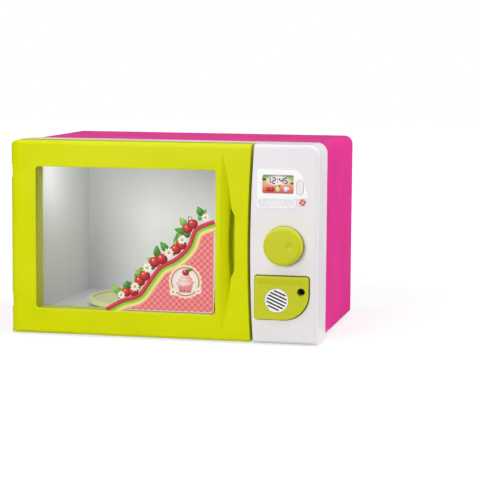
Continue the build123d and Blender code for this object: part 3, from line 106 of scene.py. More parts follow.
def add(tree, kind, sockets=None, stops=None, **settings):
    """Adds a node. Each socket takes a value or another node's output; stops fill a colour ramp."""
    node = tree.nodes.new(kind)
    for name, value in settings.items():
        setattr(node, name, value)
    for name, value in (sockets or {}).items():
        if isinstance(value, bpy.types.NodeSocket):
            tree.links.new(value, node.inputs[name])
        else:
            node.inputs[name].default_value = value
    if stops:
        ramp = node.color_ramp.elements
        while len(ramp) < len(stops):
            ramp.new(1)
        for element, (position, hex_colour) in zip(ramp, stops):
            element.position = position
            element.color = linear(hex_colour)
    return node


def blank(title):
    """A new material, its node tree and its shader."""
    material = bpy.data.materials.new(title)
    material.use_nodes = True
    return material, material.node_tree, material.node_tree.nodes["Principled BSDF"]


print("pink", [round(c, 3) for c in linear("#e23b94")])

# %% [markdown]
# ## Injection-moulded ABS
# The toy's shells are ABS, coloured right through and moulded in a steel tool. That gives the
# eye three things: a soft, broad shine at an IOR of about 1.5, with a gloss below the usual 0.5
# because a fine texture dulls it, a colour that drifts very slightly where the melt flowed, and a
# faint unevenness called orange peel. The drift and the peel are both noise. Their sizes come
# from the real thing, about 60 mm for a flow cloud and 2.5 mm for the peel. A painted image could
# be wrapped round the shell instead, but noise has no seams and works at every distance.

# %% One recipe for moulded plastic
POLISH_DRIFT = 0.04


def moulded(title, body, deep, roughness, peel_mm=2.5, peel_depth_mm=0.01, cloud_mm=60, gloss=0.25):
    """A solid-coloured moulded plastic whose colour drifts between two close shades."""
    material, tree, shader = blank(title)
    shader.inputs["Specular IOR Level"].default_value = gloss
    place = add(tree, "ShaderNodeTexCoord")
    cloud = add(
        tree,
        "ShaderNodeTexNoise",
        {"Vector": place.outputs["Object"], "Scale": 1 / (cloud_mm * MM), "Detail": 3},
    )
    stops = [(0.35, deep), (0.65, body)]
    tint = add(tree, "ShaderNodeValToRGB", {"Fac": cloud.outputs["Fac"]}, stops)
    spread = {"Value": cloud.outputs["Fac"], "From Min": 0.3, "From Max": 0.7}
    drift = {"To Min": roughness - POLISH_DRIFT, "To Max": roughness + POLISH_DRIFT}
    polish = add(tree, "ShaderNodeMapRange", {**spread, **drift})
    peel = add(
        tree,
        "ShaderNodeTexNoise",
        {"Vector": place.outputs["Object"], "Scale": 1 / (peel_mm * MM), "Detail": 2},
    )
    bump = add(
        tree,
        "ShaderNodeBump",
        {"Height": peel.outputs["Fac"], "Distance": peel_depth_mm * MM, "Strength": 1},
    )
    tree.links.new(tint.outputs["Color"], shader.inputs["Base Color"])
    tree.links.new(polish.outputs["Result"], shader.inputs["Roughness"])
    tree.links.new(bump.outputs["Normal"], shader.inputs["Normal"])
    return material


pink_abs = moulded("ABS moulded pink", "#ef3c9b", "#ea3796", 0.42)
white_abs = moulded("ABS moulded white", "#f3eef1", "#f0ebee", 0.36)
lime_abs = moulded("ABS moulded lime", "#dbe104", "#d6dd02", 0.24, peel_depth_mm=0.0015, gloss=0.1)
olive_abs = moulded("ABS moulded yellow green", "#cdd01a", "#c9cc16", 0.34)
grey_abs = moulded("polystyrene moulded grey", "#eff0f3", "#ecedf0", 0.55, peel_depth_mm=0.003)
plate_abs = moulded("polystyrene moulded pale lime", "#e9edb8", "#e4e9ae", 0.5, peel_depth_mm=0.003)
grille_abs = moulded("polystyrene moulded white", "#fcfbfb", "#f8f7f8", 0.4, peel_depth_mm=0.004)
black_abs = moulded("ABS moulded black", "#1b1b1d", "#171719", 0.45)
natural_nylon = moulded("nylon moulded natural", "#ebe8dc", "#e5e2d4", 0.42, gloss=0.5)
print("plastics", [m.name for m in bpy.data.materials if "moulded" in m.name])

# %% [markdown]
# ## Clear and coloured windows
# The pane is polystyrene sheet, clear and flat. A full refracting glass shader would cast a dark
# shadow into the cavity, because light could only get in by chance paths. A thin sheet barely
# bends light, so it is made of plain transparency plus a share of a mirror. That share is a few
# percent straight on and grows with the fifth power towards the edge, the same from both faces.
# The lamp's lens is salmon acrylic, thick enough to scatter, so it keeps a surface colour.

# %% Clear sheet, lens and LED
def clear_sheet(title, straight_on, tint, roughness):
    """A thin clear sheet: see-through, with a mirror share that grows towards grazing views."""
    material, tree, shader = blank(title)
    tree.nodes.remove(shader)
    through = add(tree, "ShaderNodeBsdfTransparent", {"Color": linear(tint)})
    shine = add(tree, "ShaderNodeBsdfGlossy", {"Roughness": roughness})
    slant = add(tree, "ShaderNodeLayerWeight", {"Blend": 0.5})
    rise = add(tree, "ShaderNodeMath", {0: slant.outputs["Facing"], 1: 5}, operation="POWER")
    share = add(
        tree,
        "ShaderNodeMath",
        {0: rise.outputs[0], 1: 1 - straight_on, 2: straight_on},
        operation="MULTIPLY_ADD",
    )
    mix = add(
        tree, "ShaderNodeMixShader", {0: share.outputs[0], 1: through.outputs[0], 2: shine.outputs[0]}
    )
    tree.links.new(mix.outputs[0], tree.nodes["Material Output"].inputs["Surface"])
    return material


clear_styrene = clear_sheet("polystyrene sheet clear", 0.02, "#ffffff", 0.04)
clear_epoxy = clear_sheet("epoxy cast clear", 0.04, "#f1f1f4", 0.08)
red_acrylic = moulded("acrylic cast salmon", "#ffb7a8", "#ffa898", 0.16, peel_mm=1.5, gloss=0.5)
red_acrylic.node_tree.nodes["Principled BSDF"].inputs["Coat Weight"].default_value = 0.5
print("clear pieces", clear_styrene.name, clear_epoxy.name, red_acrylic.name)

# %% [markdown]
# ## Metals, rubber, board and paper
# Screws and pins are zinc-plated steel. Plating is soft and slightly cloudy, so its roughness
# varies with a 1.5 mm noise. A brushed bar has lines, which are noise stretched along one axis.
# Springs are bright drawn wire. Rubber and speaker paper are nearly all diffuse, and only their
# grain tells them apart.

# %% Metals
def metal(title, colour, roughness, grain_mm, stretch=(1, 1, 1)):
    """A metal whose roughness follows a grain, stretched along an axis if it was drawn."""
    material, tree, shader = blank(title)
    shader.inputs["Base Color"].default_value = linear(colour)
    shader.inputs["Metallic"].default_value = 1
    place = add(tree, "ShaderNodeTexCoord")
    along = add(tree, "ShaderNodeMapping", {"Vector": place.outputs["Object"], "Scale": stretch})
    grain = add(
        tree,
        "ShaderNodeTexNoise",
        {"Vector": along.outputs["Vector"], "Scale": 1 / (grain_mm * MM), "Detail": 4},
    )
    spread = {"To Min": roughness - 0.08, "To Max": roughness + 0.12}
    polish = add(tree, "ShaderNodeMapRange", {"Value": grain.outputs["Fac"], **spread})
    tree.links.new(polish.outputs["Result"], shader.inputs["Roughness"])
    return material


zinc = metal("steel zinc plated", "#c3c6cb", 0.34, 1.5)
ground_steel = metal("steel ground", "#b9babd", 0.25, 0.8, (1, 1, 0.1))
spring_wire = metal("spring steel drawn", "#aeb0b4", 0.22, 0.6, (0.2, 1, 1))
plated_steel = metal("steel nickel plated", "#cfcdc6", 0.18, 2)
# The cover screw is near black: painted shade, so that its deep well reads dark
well_shade_steel = metal("steel near black, painted shade", "#1c1c1d", 0.6, 1)
dark_steel = metal("steel zinc plated dark", "#6a6b70", 0.4, 1.2)
ferrite = moulded("ferrite sintered", "#3b3b3e", "#303033", 0.6, peel_mm=0.8, cloud_mm=6)
rubber = moulded("rubber moulded black", "#2b2b2c", "#232324", 0.7, peel_mm=0.7)
speaker_paper = moulded("paper pressed black", "#2a2528", "#1f1b1e", 0.85, peel_mm=0.6, cloud_mm=3)
board_green = moulded("board laminate green", "#2d6b3a", "#265e32", 0.4, cloud_mm=4)
wire_cover = moulded("PVC extruded red", "#c02f2c", "#b12825", 0.4, cloud_mm=8)
print("metals", zinc.name, ground_steel.name, spring_wire.name, plated_steel.name)

# %% [markdown]
# ## Dress the moulded parts
# Each part names a finish in its record. A table from that finish to a material dresses all of
# them in one loop, and a part added later is dressed with no new line.

# %% Give each part its finish
FINISHES = {
    "pink_plastic": pink_abs,
    "white_plastic": white_abs,
    "lime_plastic": lime_abs,
    "knob_plastic": olive_abs,
    "grey_plastic": grey_abs,
    "clear_plastic": clear_styrene,
    "red_lens": red_acrylic,
    "white_grille": grille_abs,
    "rubber_foot": rubber,
    "zinc_screw": zinc,
    # the cover screw's near black is painted shade for its well
    "black_screw": well_shade_steel,
    "steel_pin": ground_steel,
    "spring_steel": spring_wire,
    "nylon_wheel": natural_nylon,
    "board_laminate": board_green,
    "black_plastic": black_abs,
    "clear_resin": clear_epoxy,
    "speaker_steel": dark_steel,
    "cone_paper": speaker_paper,
    "ferrite": ferrite,
    "cell_steel": plated_steel,
    "contact_metal": plated_steel,
    "wire_cover": wire_cover,
}
slot_of = {part["node"]: part["material_slot"] for part in frame["record"]["subparts"]}
for name, part in nodes.items():
    part.data.materials.clear()
    part.data.materials.append(FINISHES.get(slot_of[name], white_abs))
nodes["turntable_plate"].data.materials[0] = plate_abs
print("dressed", len(nodes), "parts in", len(FINISHES), "finishes")

# %% [markdown]
# ## Return spring
# A coil of 0.5 mm wire pushes the button back. A rigid coil would poke through the button when
# it's pressed, so this one is wound again as a mesh of its own, which can be squashed. It could be
# a curve with a bevel, but only a mesh can be squashed, so rings of points are laid along a helix.
# One helper turns the mesh into an object, and later does the same for the prints and curtains.

# %% Wind the spring
def made_of(material, name, build):
    """An object in one material from a mesh that was built here."""
    mesh = bpy.data.meshes.new(name)
    build.to_mesh(mesh)
    build.free()
    mesh.materials.append(material)
    piece = bpy.data.objects.new(name, mesh)
    scene.collection.objects.link(piece)
    return piece


SPRING_WIRE = 0.5 * MM
SPRING_TURNS, STEPS_PER_TURN, WIRE_SIDES = 6, 24, 8
coil_low, coil_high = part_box("button_spring")
coil_x, coil_z = (coil_low[0] + coil_high[0]) / 2, (coil_low[2] + coil_high[2]) / 2
coil_radius = (coil_high[0] - coil_low[0] - SPRING_WIRE) / 2
coil_length = coil_high[1] - coil_low[1]
build = bmesh.new()
rings = []
steps = SPRING_TURNS * STEPS_PER_TURN
for k in range(steps + 1):
    turn = math.tau * SPRING_TURNS * k / steps
    y = coil_low[1] + SPRING_WIRE / 2 + (coil_length - SPRING_WIRE) * k / steps
    ring = []
    for side in range(WIRE_SIDES):
        a = math.tau * side / WIRE_SIDES
        r = coil_radius + SPRING_WIRE / 2 * math.cos(a)
        x, z = coil_x + r * math.cos(turn), coil_z + r * math.sin(turn)
        ring.append(build.verts.new((x, y + SPRING_WIRE / 2 * math.sin(a), z)))
    rings.append(ring)
for one, two in zip(rings, rings[1:]):
    for side in range(WIRE_SIDES):
        after = (side + 1) % WIRE_SIDES
        build.faces.new((one[side], one[after], two[after], two[side]))
build.faces.new(rings[0][::-1])
build.faces.new(rings[-1])
bmesh.ops.recalc_face_normals(build, faces=build.faces)
for face in build.faces:
    face.smooth = True
return_spring = made_of(spring_wire, "return_spring", build)
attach(return_spring, "oven")
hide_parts("button_spring")
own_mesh(return_spring)
print("return spring", round(coil_length / MM, 1), "mm long")

# %% [markdown]
# ## Painted highlight on the panel's relief
# The raised frame round the display, the ribbed strip and the rays of the lamp are painted whiter
# than the face: a painted highlight for the light their raised faces catch. It could be a second
# object, but it's one moulding, so the painted highlight follows how far a point stands out.

# %% Painted highlight where the panel stands out
PANEL_FACE = -0.1305
# Depths in front of the face where the painted highlight starts and where it is full
NO_HIGHLIGHT_UP_TO, FULL_HIGHLIGHT_FROM = 0.2 * MM, 0.9 * MM
panel_abs = moulded("ABS moulded white, relief painted highlight", "#f1ecf0", "#eee9ee", 0.4)
tree = panel_abs.node_tree
shader = tree.nodes["Principled BSDF"]
place = add(tree, "ShaderNodeTexCoord")
parts = add(tree, "ShaderNodeSeparateXYZ", {0: place.outputs["Object"]})
rise = {"From Min": PANEL_FACE - NO_HIGHLIGHT_UP_TO, "From Max": PANEL_FACE - FULL_HIGHLIGHT_FROM}
raised = add(tree, "ShaderNodeMapRange", {"Value": parts.outputs["Y"], **rise})
# Painted highlight: the relief's colour is mixed towards white as it stands out
painted_highlight = add(
    tree,
    "ShaderNodeMix",
    {0: raised.outputs["Result"], 6: tree.nodes["Color Ramp"].outputs["Color"], 7: linear("#fefdff")},
    data_type="RGBA",
)
tree.links.new(painted_highlight.outputs[2], shader.inputs["Base Color"])
nodes["front_bezel"].data.materials[0] = panel_abs

# %% [markdown]
# ## Rolled start of the finger scoop
# The scoop beside the handle rolls in from the door's face without a crease and gets steeper
# towards the fingers. The solid under it is one plain slope. The roll could be a finer mesh, but
# the slope's own depth behind the face is a ready measure, so a bump that swells in the middle
# of the slope turns the light over gradually, and the silhouette stays the solid's.

# %% Swell on the slope
DOOR_FACE, SCOOP_DEPTH = PANEL_FACE, 13 * MM
SCOOP_LEFT, SCOOP_RIGHT, FACES_RIGHT = 70 * MM, 100 * MM, 0.3
door_abs = lime_abs.copy()
door_abs.name = "ABS moulded lime, rolled scoop"
tree = door_abs.node_tree
place = add(tree, "ShaderNodeTexCoord")
parts = add(tree, "ShaderNodeSeparateXYZ", {0: place.outputs["Object"]})
surface = add(tree, "ShaderNodeNewGeometry")
turned = add(tree, "ShaderNodeSeparateXYZ", {0: surface.outputs["True Normal"]})
limits = {"From Min": DOOR_FACE, "From Max": DOOR_FACE + SCOOP_DEPTH}
deep = add(tree, "ShaderNodeMapRange", {"Value": parts.outputs["Y"], **limits})
# The swell is START * depth - BEND * depth squared, in metres for a depth from 0 to 1
START, BEND = 13.5 * MM, 13.5 * MM
bend = add(
    tree, "ShaderNodeMath", {0: deep.outputs[0], 1: -BEND, 2: START}, operation="MULTIPLY_ADD"
)
swell = add(tree, "ShaderNodeMath", {0: bend.outputs[0], 1: deep.outputs[0]}, operation="MULTIPLY")
where = {0: parts.outputs["X"], 1: SCOOP_LEFT}
where = add(tree, "ShaderNodeMath", where, operation="GREATER_THAN")
for value, limit, test in (
    (parts.outputs["X"], SCOOP_RIGHT, "LESS_THAN"),
    (turned.outputs["X"], FACES_RIGHT, "GREATER_THAN"),
):
    also = add(tree, "ShaderNodeMath", {0: value, 1: limit}, operation=test)
    both = {0: where.outputs[0], 1: also.outputs[0]}
    where = add(tree, "ShaderNodeMath", both, operation="MULTIPLY")
roll = add(
    tree, "ShaderNodeBump", {"Height": swell.outputs[0], "Strength": where.outputs[0], "Distance": 1}
)
tree.links.new(roll.outputs["Normal"], tree.nodes["Bump"].inputs["Normal"])
nodes["door_shell"].data.materials[0] = door_abs
print("scoop rolls in over", SCOOP_DEPTH / MM, "mm of depth")

# %% [markdown]
# ## Faint ribs on the sound module
# Along its top the module's cover carries low slanting ribs, half a millimetre high and 7 mm
# apart. They could be cut as a mesh, but at this height only the light on them shows, so a sine
# wave across the slant serves as a bump, and it fades out at the edges of the band.

# %% Slanting ribs
module_low, module_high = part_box("module_cover")
RIB_SLANT, RIB_PITCH, RIB_HEIGHT = math.radians(40), 4.6 * MM, 0.5 * MM
BAND_DROP, BAND_TOP, BAND_LEFT, BAND_RIGHT, FADE = 11 * MM, 2 * MM, 3 * MM, 7 * MM, 1.5 * MM
module_abs = nodes["module_cover"].data.materials[0].copy()
module_abs.name = "ABS moulded yellow green, ribbed"
tree = module_abs.node_tree
place = add(tree, "ShaderNodeTexCoord")
parts = add(tree, "ShaderNodeSeparateXYZ", {0: place.outputs["Object"]})
phase = math.tau / RIB_PITCH
sideways = {0: parts.outputs["X"], 1: phase * math.sin(RIB_SLANT)}
sideways = add(tree, "ShaderNodeMath", sideways, operation="MULTIPLY")
slanted = {0: parts.outputs["Z"], 1: phase * math.cos(RIB_SLANT), 2: sideways.outputs[0]}
slanted = add(tree, "ShaderNodeMath", slanted, operation="MULTIPLY_ADD")
band = add(tree, "ShaderNodeMath", {0: slanted.outputs[0]}, operation="SINE")
for axis, edge, inwards in (
    ("Z", module_high[2] - BAND_DROP, FADE),
    ("Z", module_high[2] - BAND_TOP, -FADE),
    ("X", module_low[0] + BAND_LEFT, FADE),
    ("X", module_high[0] - BAND_RIGHT, -FADE),
):
    limits = {"From Min": edge, "From Max": edge + inwards}
    fade = add(tree, "ShaderNodeMapRange", {"Value": parts.outputs[axis], **limits})
    both = {0: band.outputs[0], 1: fade.outputs[0]}
    band = add(tree, "ShaderNodeMath", both, operation="MULTIPLY")
ribs = add(
    tree, "ShaderNodeBump", {"Height": band.outputs[0], "Strength": 1, "Distance": RIB_HEIGHT / 2}
)
tree.links.new(ribs.outputs["Normal"], tree.nodes["Bump"].inputs["Normal"])
nodes["module_cover"].data.materials[0] = module_abs
print("ribs every", round(RIB_PITCH / math.sin(RIB_SLANT) / MM, 1), "mm along the band")

# %% [markdown]
# ## Printed film on the window
# The corner of the window carries a film printed in several colours. It could be one flat face
# with a painted picture on it, but a print drawn as separate ink shapes stays sharp at any
# distance, and each ink has its own gloss. Each shape is an outline on the pane, filled, lifted
# by the thickness of the inks below it, and given a hair of thickness.
#
# Every shape also gets UV coordinates that run from -1 to 1 across it, so a fruit or a petal can
# be shaded round with one gradient, however large it is printed.

# %% Draw ink shapes on a front-facing surface
INK_STEP_MM = 0.03
INK_THICKNESS_MM = 0.02


def lay_ink(name, build, material, body):
    """Turns the faces to the front, gives them a hair of thickness and joins them to a body."""
    build.normal_update()
    for face in build.faces:
        if face.normal.y > 0:
            face.normal_flip()
    piece = made_of(material, name, build)
    skin = piece.modifiers.new("ink", "SOLIDIFY")
    skin.thickness = INK_THICKNESS_MM * MM
    skin.offset = -1
    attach(piece, body)
    print(f"{name}: {len(piece.data.polygons)} faces")
    return piece


def printed(name, shapes, surface_y, layer, material, body):
    """Fills outlines of (x, z) points in mm as ink on the surface at depth surface_y."""
    build = bmesh.new()
    shade = build.loops.layers.uv.new("shade")
    y = surface_y - layer * INK_STEP_MM * MM
    for outline in shapes:
        middle = [sum(p[i] for p in outline) / len(outline) for i in (0, 1)]
        reach = max(math.dist(p, middle) for p in outline)
        corners = [build.verts.new((x * MM, y, z * MM)) for x, z in outline]
        face = build.faces.new(corners)
        for loop, (x, z) in zip(face.loops, outline):
            loop[shade].uv = ((x - middle[0]) / reach, (z - middle[1]) / reach)
    return lay_ink(name, build, material, body)


# %% [markdown]
# The outlines themselves are a few simple curves. A leaf is two arcs that meet in a point, a
# fruit is a circle with a dent at its stalk, and a petal is an ellipse. Long curves go through a
# handful of points and are smoothed by the Catmull-Rom rule, which passes through every point
# it is given, so the drawing stays easy to change.

# %% Curves and motifs
def ellipse(x, z, wide, high, turn=0, steps=28):
    """An ellipse with half sizes wide and high, turned by an angle in degrees."""
    c, s = math.cos(math.radians(turn)), math.sin(math.radians(turn))
    points = []
    for i in range(steps):
        a = math.tau * i / steps
        u, v = wide * math.cos(a), high * math.sin(a)
        points.append((x + u * c - v * s, z + u * s + v * c))
    return points


def fruit(x, z, radius, steps=32):
    """A cherry: round, with a dent at the top."""
    points = []
    for i in range(steps):
        a = math.tau * i / steps
        dent = 0.16 * math.exp(-(((math.degrees(a) - 90) / 22) ** 2))
        r = radius * (1 - dent)
        points.append((x + 1.04 * r * math.cos(a), z + r * math.sin(a)))
    return points


def leaf(x, z, length, width, turn, steps=12):
    """A pointed leaf that starts at (x, z) and grows along turn, in degrees."""
    c, s = math.cos(math.radians(turn)), math.sin(math.radians(turn))
    edge = []
    for side in (1, -1):
        for i in range(steps):
            t = i / steps if side == 1 else 1 - i / steps
            bulge = side * width / 2 * math.sin(math.pi * t**0.8)
            notch = 1 - 0.08 * (i % 2)
            edge.append((t * length, bulge * notch))
    return [(x + u * c - v * s, z + u * s + v * c) for u, v in edge]


def smooth(points, steps=10):
    """Points along a curve that passes through every given point."""
    path = []
    ends = [points[0], *points, points[-1]]
    for a, b, c, d in zip(ends, ends[1:], ends[2:], ends[3:]):
        for i in range(steps):
            t = i / steps
            spot = []
            for p, q, r, s in zip(a, b, c, d):
                value = 2 * q + (r - p) * t + (2 * p - 5 * q + 4 * r - s) * t**2
                spot.append(0.5 * (value + (3 * q - p - 3 * r + s) * t**3))
            path.append(tuple(spot))
    return [*path, points[-1]]


def beside(path, distance):
    """The same path, moved to its right by a distance."""
    moved = []
    for i, (x, z) in enumerate(path):
        ahead, behind = path[min(i + 1, len(path) - 1)], path[max(i - 1, 0)]
        run = Vector((ahead[0] - behind[0], ahead[1] - behind[1])).normalized()
        moved.append((x + run.y * distance, z - run.x * distance))
    return moved


def stripe(path, wide):
    """A closed strip of even width along a path."""
    return [*beside(path, -wide / 2), *reversed(beside(path, wide / 2))]


print("a leaf has", len(leaf(0, 0, 10, 4, 0)), "points")

# %% [markdown]
# ## Inks
# Screen-printed ink on film is thin, even and satin. Each ink is one hue that shades from a
# light to a dark value. The gradient runs from the middle of the shape to its rim, so cherries
# look round, and a second one across a band makes a sash look folded.

# %% Printed inks
INK_ROUGHNESS, INK_GLOSS = 0.38, 0.25


def blank_ink(title):
    """A new satin material for an ink."""
    material, tree, shader = blank(title)
    shader.inputs["Roughness"].default_value = INK_ROUGHNESS
    shader.inputs["Specular IOR Level"].default_value = INK_GLOSS
    return material, tree, shader


def ink(title, light, dark, centre=(-0.25, 0.3)):
    """Ink that shades from light near the shape's middle to dark at its rim."""
    material, tree, shader = blank_ink(title)
    place = add(tree, "ShaderNodeUVMap", uv_map="shade")
    shift = add(
        tree,
        "ShaderNodeMapping",
        {"Vector": place.outputs["UV"], "Location": (-centre[0], -centre[1], 0)},
    )
    length = add(tree, "ShaderNodeVectorMath", {0: shift.outputs["Vector"]}, operation="LENGTH")
    stops = [(0.15, light), (0.95, dark)]
    tint = add(tree, "ShaderNodeValToRGB", {"Fac": length.outputs["Value"]}, stops)
    tree.links.new(tint.outputs["Color"], shader.inputs["Base Color"])
    return material


cherry_ink = ink("ink screen printed cherry", "#e8483c", "#9c1420")
shine_ink = ink("ink screen printed shine", "#fbd9d2", "#f2a89c")
leaf_ink = ink("ink screen printed leaf", "#5fae3a", "#1f6a2a")
pale_leaf_ink = ink("ink screen printed pale leaf", "#a5cf58", "#4d9a3c")
petal_ink = ink("ink screen printed petal", "#fffdf6", "#f0e3d8", centre=(0, 0))
pollen_ink = ink("ink screen printed pollen", "#f4d13c", "#c98a1e")
stalk_ink = ink("ink screen printed stalk", "#4c7a2c", "#33591f")
cream_ink = ink("ink screen printed cream", "#fdf3dc", "#f3dcb6", centre=(0, 0))
crimson_ink = ink("ink screen printed crimson", "#cf2f38", "#a81f2c", centre=(0, 0))
print("inks", [m.name for m in bpy.data.materials if m.name.startswith("ink")])

# %% [markdown]
# The ground of the print is a gingham: two sets of pale stripes that cross at right angles,
# woven on the slant. Two square waves of the same period, one along each slant, are added, so
# a square where both are pale comes out palest. The stripes are 2.8 mm wide.

# %% Gingham ink
STRIPE_MM = 2.8
gingham_ink, tree, shader = blank_ink("ink screen printed gingham")
place = add(tree, "ShaderNodeTexCoord")
slant = add(
    tree,
    "ShaderNodeMapping",
    {
        "Vector": place.outputs["Object"],
        "Rotation": (0, math.radians(45), 0),
        "Scale": (0.5 / (STRIPE_MM * MM),) * 3,
    },
)
parts = add(tree, "ShaderNodeSeparateXYZ", {0: slant.outputs["Vector"]})
waves = []
for axis in "XZ":
    saw = add(tree, "ShaderNodeMath", {0: parts.outputs[axis]}, operation="FRACT")
    wave = add(tree, "ShaderNodeMath", {0: saw.outputs[0], 1: 0.5}, operation="GREATER_THAN")
    waves.append(wave.outputs[0])
both = add(tree, "ShaderNodeMath", {0: waves[0], 1: waves[1]}, operation="ADD")
half = add(tree, "ShaderNodeMath", {0: both.outputs[0], 1: 0.5}, operation="MULTIPLY")
TONES = [(0, "#e66468"), (0.5, "#ec8083"), (1, "#f29b9c")]
tint = add(tree, "ShaderNodeValToRGB", {"Fac": half.outputs[0]}, TONES)
tree.links.new(tint.outputs["Color"], shader.inputs["Base Color"])
print("gingham squares", STRIPE_MM, "mm")

# %% [markdown]
# The sash between the garland and the gingham is one strip with bands across it. Its UV runs
# from 0 to 1 across the strip, and a ramp gives each band its colour, so the bands stay
# parallel round every bend.

# %% Sash ink and its strip
SASH_BANDS = [(0, "#b3283a"), (0.08, "#e2445a"), (0.24, "#d22c48"), (0.34, "#9c1c30")]
SASH_BANDS += [(0.37, "#8aa23a"), (0.46, "#93c43c"), (0.6, "#b4d24a"), (0.74, "#f4ee8e")]
SASH_BANDS += [(0.84, "#f6d49a"), (1, "#ec9a93")]
sash_ink, tree, shader = blank_ink("ink screen printed sash")
place = add(tree, "ShaderNodeUVMap", uv_map="shade")
parts = add(tree, "ShaderNodeSeparateXYZ", {0: place.outputs["UV"]})
tint = add(tree, "ShaderNodeValToRGB", {"Fac": parts.outputs["Y"]}, SASH_BANDS)
tree.links.new(tint.outputs["Color"], shader.inputs["Base Color"])


def sash(name, path, wide, surface_y, layer, material, body):
    """A strip along a path whose UV runs across it."""
    build = bmesh.new()
    shade = build.loops.layers.uv.new("shade")
    y = surface_y - layer * INK_STEP_MM * MM
    rows = []
    for ends in zip(path, beside(path, wide)):
        rows.append([build.verts.new((x * MM, y, z * MM)) for x, z in ends])
    for i, (near, far) in enumerate(zip(rows, rows[1:])):
        face = build.faces.new((near[0], near[1], far[1], far[0]))
        for loop, across in zip(face.loops, (0, 1, 1, 0)):
            loop[shade].uv = (i / len(rows), across)
    return lay_ink(name, build, material, body)


# %% [markdown]
# ## Lay out the window's print
# The film's free edge is a long S from the lower left to the right side of the window. A garland
# grows along it, a sash in crimson, green and yellow runs in one calm wave below, and gingham
# fills the corner like a tablecloth. Leaves go down first, then cherries, then daisies, in the
# order in which a printer stacks the inks. Where two shapes of one ink overlap, they are printed
# in two passes, because two faces in one plane would fight for the same pixels.

# %% Gingham ground and sash
film_low, film_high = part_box("window_decal")
film_y = film_high[1]
left, right = film_low[0] / MM, film_high[0] / MM
low, top = film_low[2] / MM, film_high[2] / MM


def film_print(name, shapes, layer, material):
    """Ink on the window's film."""
    return printed(name, shapes, film_y, layer, material, "door")


bends = [(-52, 49), (-30, 57), (-17, 74), (-2, 93), (18, 104), (33, 119), (43, 141)]
sash_path = smooth([(left + 3, low + 0.3), *bends, (right, 152)])
sash_path = [p for p in sash_path if p[0] <= right]
SASH_WIDE, GROUND_UNDER_SASH, CORNER = 14, 6, 3.3
ground_edge = beside(sash_path, GROUND_UNDER_SASH)
ground = [p for p in ground_edge if p[0] <= right and p[1] >= low] + [(right, 142)]
for a in (1.57, 1.05, 0.52, 0):
    ground.append((right - CORNER + CORNER * math.sin(a), low + CORNER - CORNER * math.cos(a)))
ground.append((ground[0][0], low))
film_ground = film_print("film_gingham", [ground], 1, gingham_ink)
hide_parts("window_decal")
rim_ink = ink("ink screen printed rim", "#f9d3cd", "#f6c4bd", centre=(0, 0))
rim, start = 0.9, ground[0][0]
border = [
    (start, low - rim), (right - 2.4, low - rim), (right + rim * 0.4, low + 1),
    (right + rim, low + 4), (right + rim, 143),
    (right - 2, 143), (right - 2, low + 3), (start, low + 3),
]
film_print("film_rim", [border], 0.4, rim_ink)
sash("film_sash", sash_path, SASH_WIDE, film_y, 2, sash_ink, "door")
print("film", round(right - left), "by", round(top - low), "mm")

# %% [markdown]
# Along the sash, sprigs of cherries take turns with daisies, and leaves fill the gaps at angles
# that never quite repeat. Each sprig and daisy has a share of the path's length, a height above
# the path and a size.

# %% Garland of leaves, cherries and daisies
def along(path, share, above=0.0):
    """A point above a share of a path, and the path's direction there in degrees."""
    i = min(int(share * (len(path) - 1)), len(path) - 2)
    (x0, z0), (x1, z1) = path[i], path[i + 1]
    run = math.atan2(z1 - z0, x1 - x0)
    return (x0 - above * math.sin(run), z0 + above * math.cos(run)), math.degrees(run)


GREENS = (
    ("film_leaves", 3, leaf_ink),
    ("film_pale_leaves", 3.4, pale_leaf_ink),
    ("film_mid_leaves", 3.8, leaf_ink),
    ("film_light_leaves", 4.2, pale_leaf_ink),
    ("film_top_leaves", 4.6, leaf_ink),
)
LEAF_COUNT, FIRST_LEAF, LEAF_GAP = 30, 0.12, 0.0285
leaves = []
for step in range(LEAF_COUNT):
    spot, heading = along(sash_path, FIRST_LEAF + LEAF_GAP * step, 2 + 3.5 * (step % 3))
    turn = heading + (35, 105, 68, 140)[step % 4] + 9 * math.sin(1.7 * step)
    leaves.append(leaf(*spot, 15 + 2.5 * math.sin(2.3 * step), 9.5, turn))
for k, (name, layer, green) in enumerate(GREENS):
    film_print(name, leaves[k :: len(GREENS)], layer, green)

SPRIGS = ((0.2, 6, 6.2), (0.37, 7, 6.8), (0.52, 6, 7.0), (0.7, 7, 6.6), (0.87, 6, 6.4))
cherries, shines, stalks = ([], []), [], []
for share, above, size in SPRIGS:
    (cx, cz), heading = along(sash_path, share, above)
    for side in (-1, 1):
        fx = cx + side * size * 0.78 * math.cos(math.radians(heading))
        fz = cz + side * size * 0.78 * math.sin(math.radians(heading)) - side * 0.8
        cherries[side > 0].append(fruit(fx, fz, size))
        shines.append(ellipse(fx - 0.34 * size, fz + 0.36 * size, 0.2 * size, 0.13 * size, 40, 14))
        tip = (cx - 2, cz + 1.9 * size)
        bend = ((fx + tip[0]) / 2, fz + 1.3 * size)
        stalks.append(stripe(smooth([(fx, fz + 0.8 * size), bend, tip], 6), 0.8))
film_print("film_stalks_left", stalks[::2], 5, stalk_ink)
film_print("film_stalks_right", stalks[1::2], 5.3, stalk_ink)
film_print("film_cherries_low", cherries[0], 5.7, cherry_ink)
film_print("film_cherries_high", cherries[1], 6.3, cherry_ink)
film_print("film_shines", shines, 6.8, shine_ink)


def daisy(x, z, size, petal_count=9):
    """Petals round a middle that stays empty for the pollen."""
    shapes = []
    for k in range(petal_count):
        turn = 360 / petal_count * k + 11
        a = math.radians(turn)
        middle = (x + 0.62 * size * math.cos(a), z + 0.62 * size * math.sin(a))
        shapes.append(ellipse(*middle, 0.4 * size, 0.2 * size, turn, 14))
    return shapes


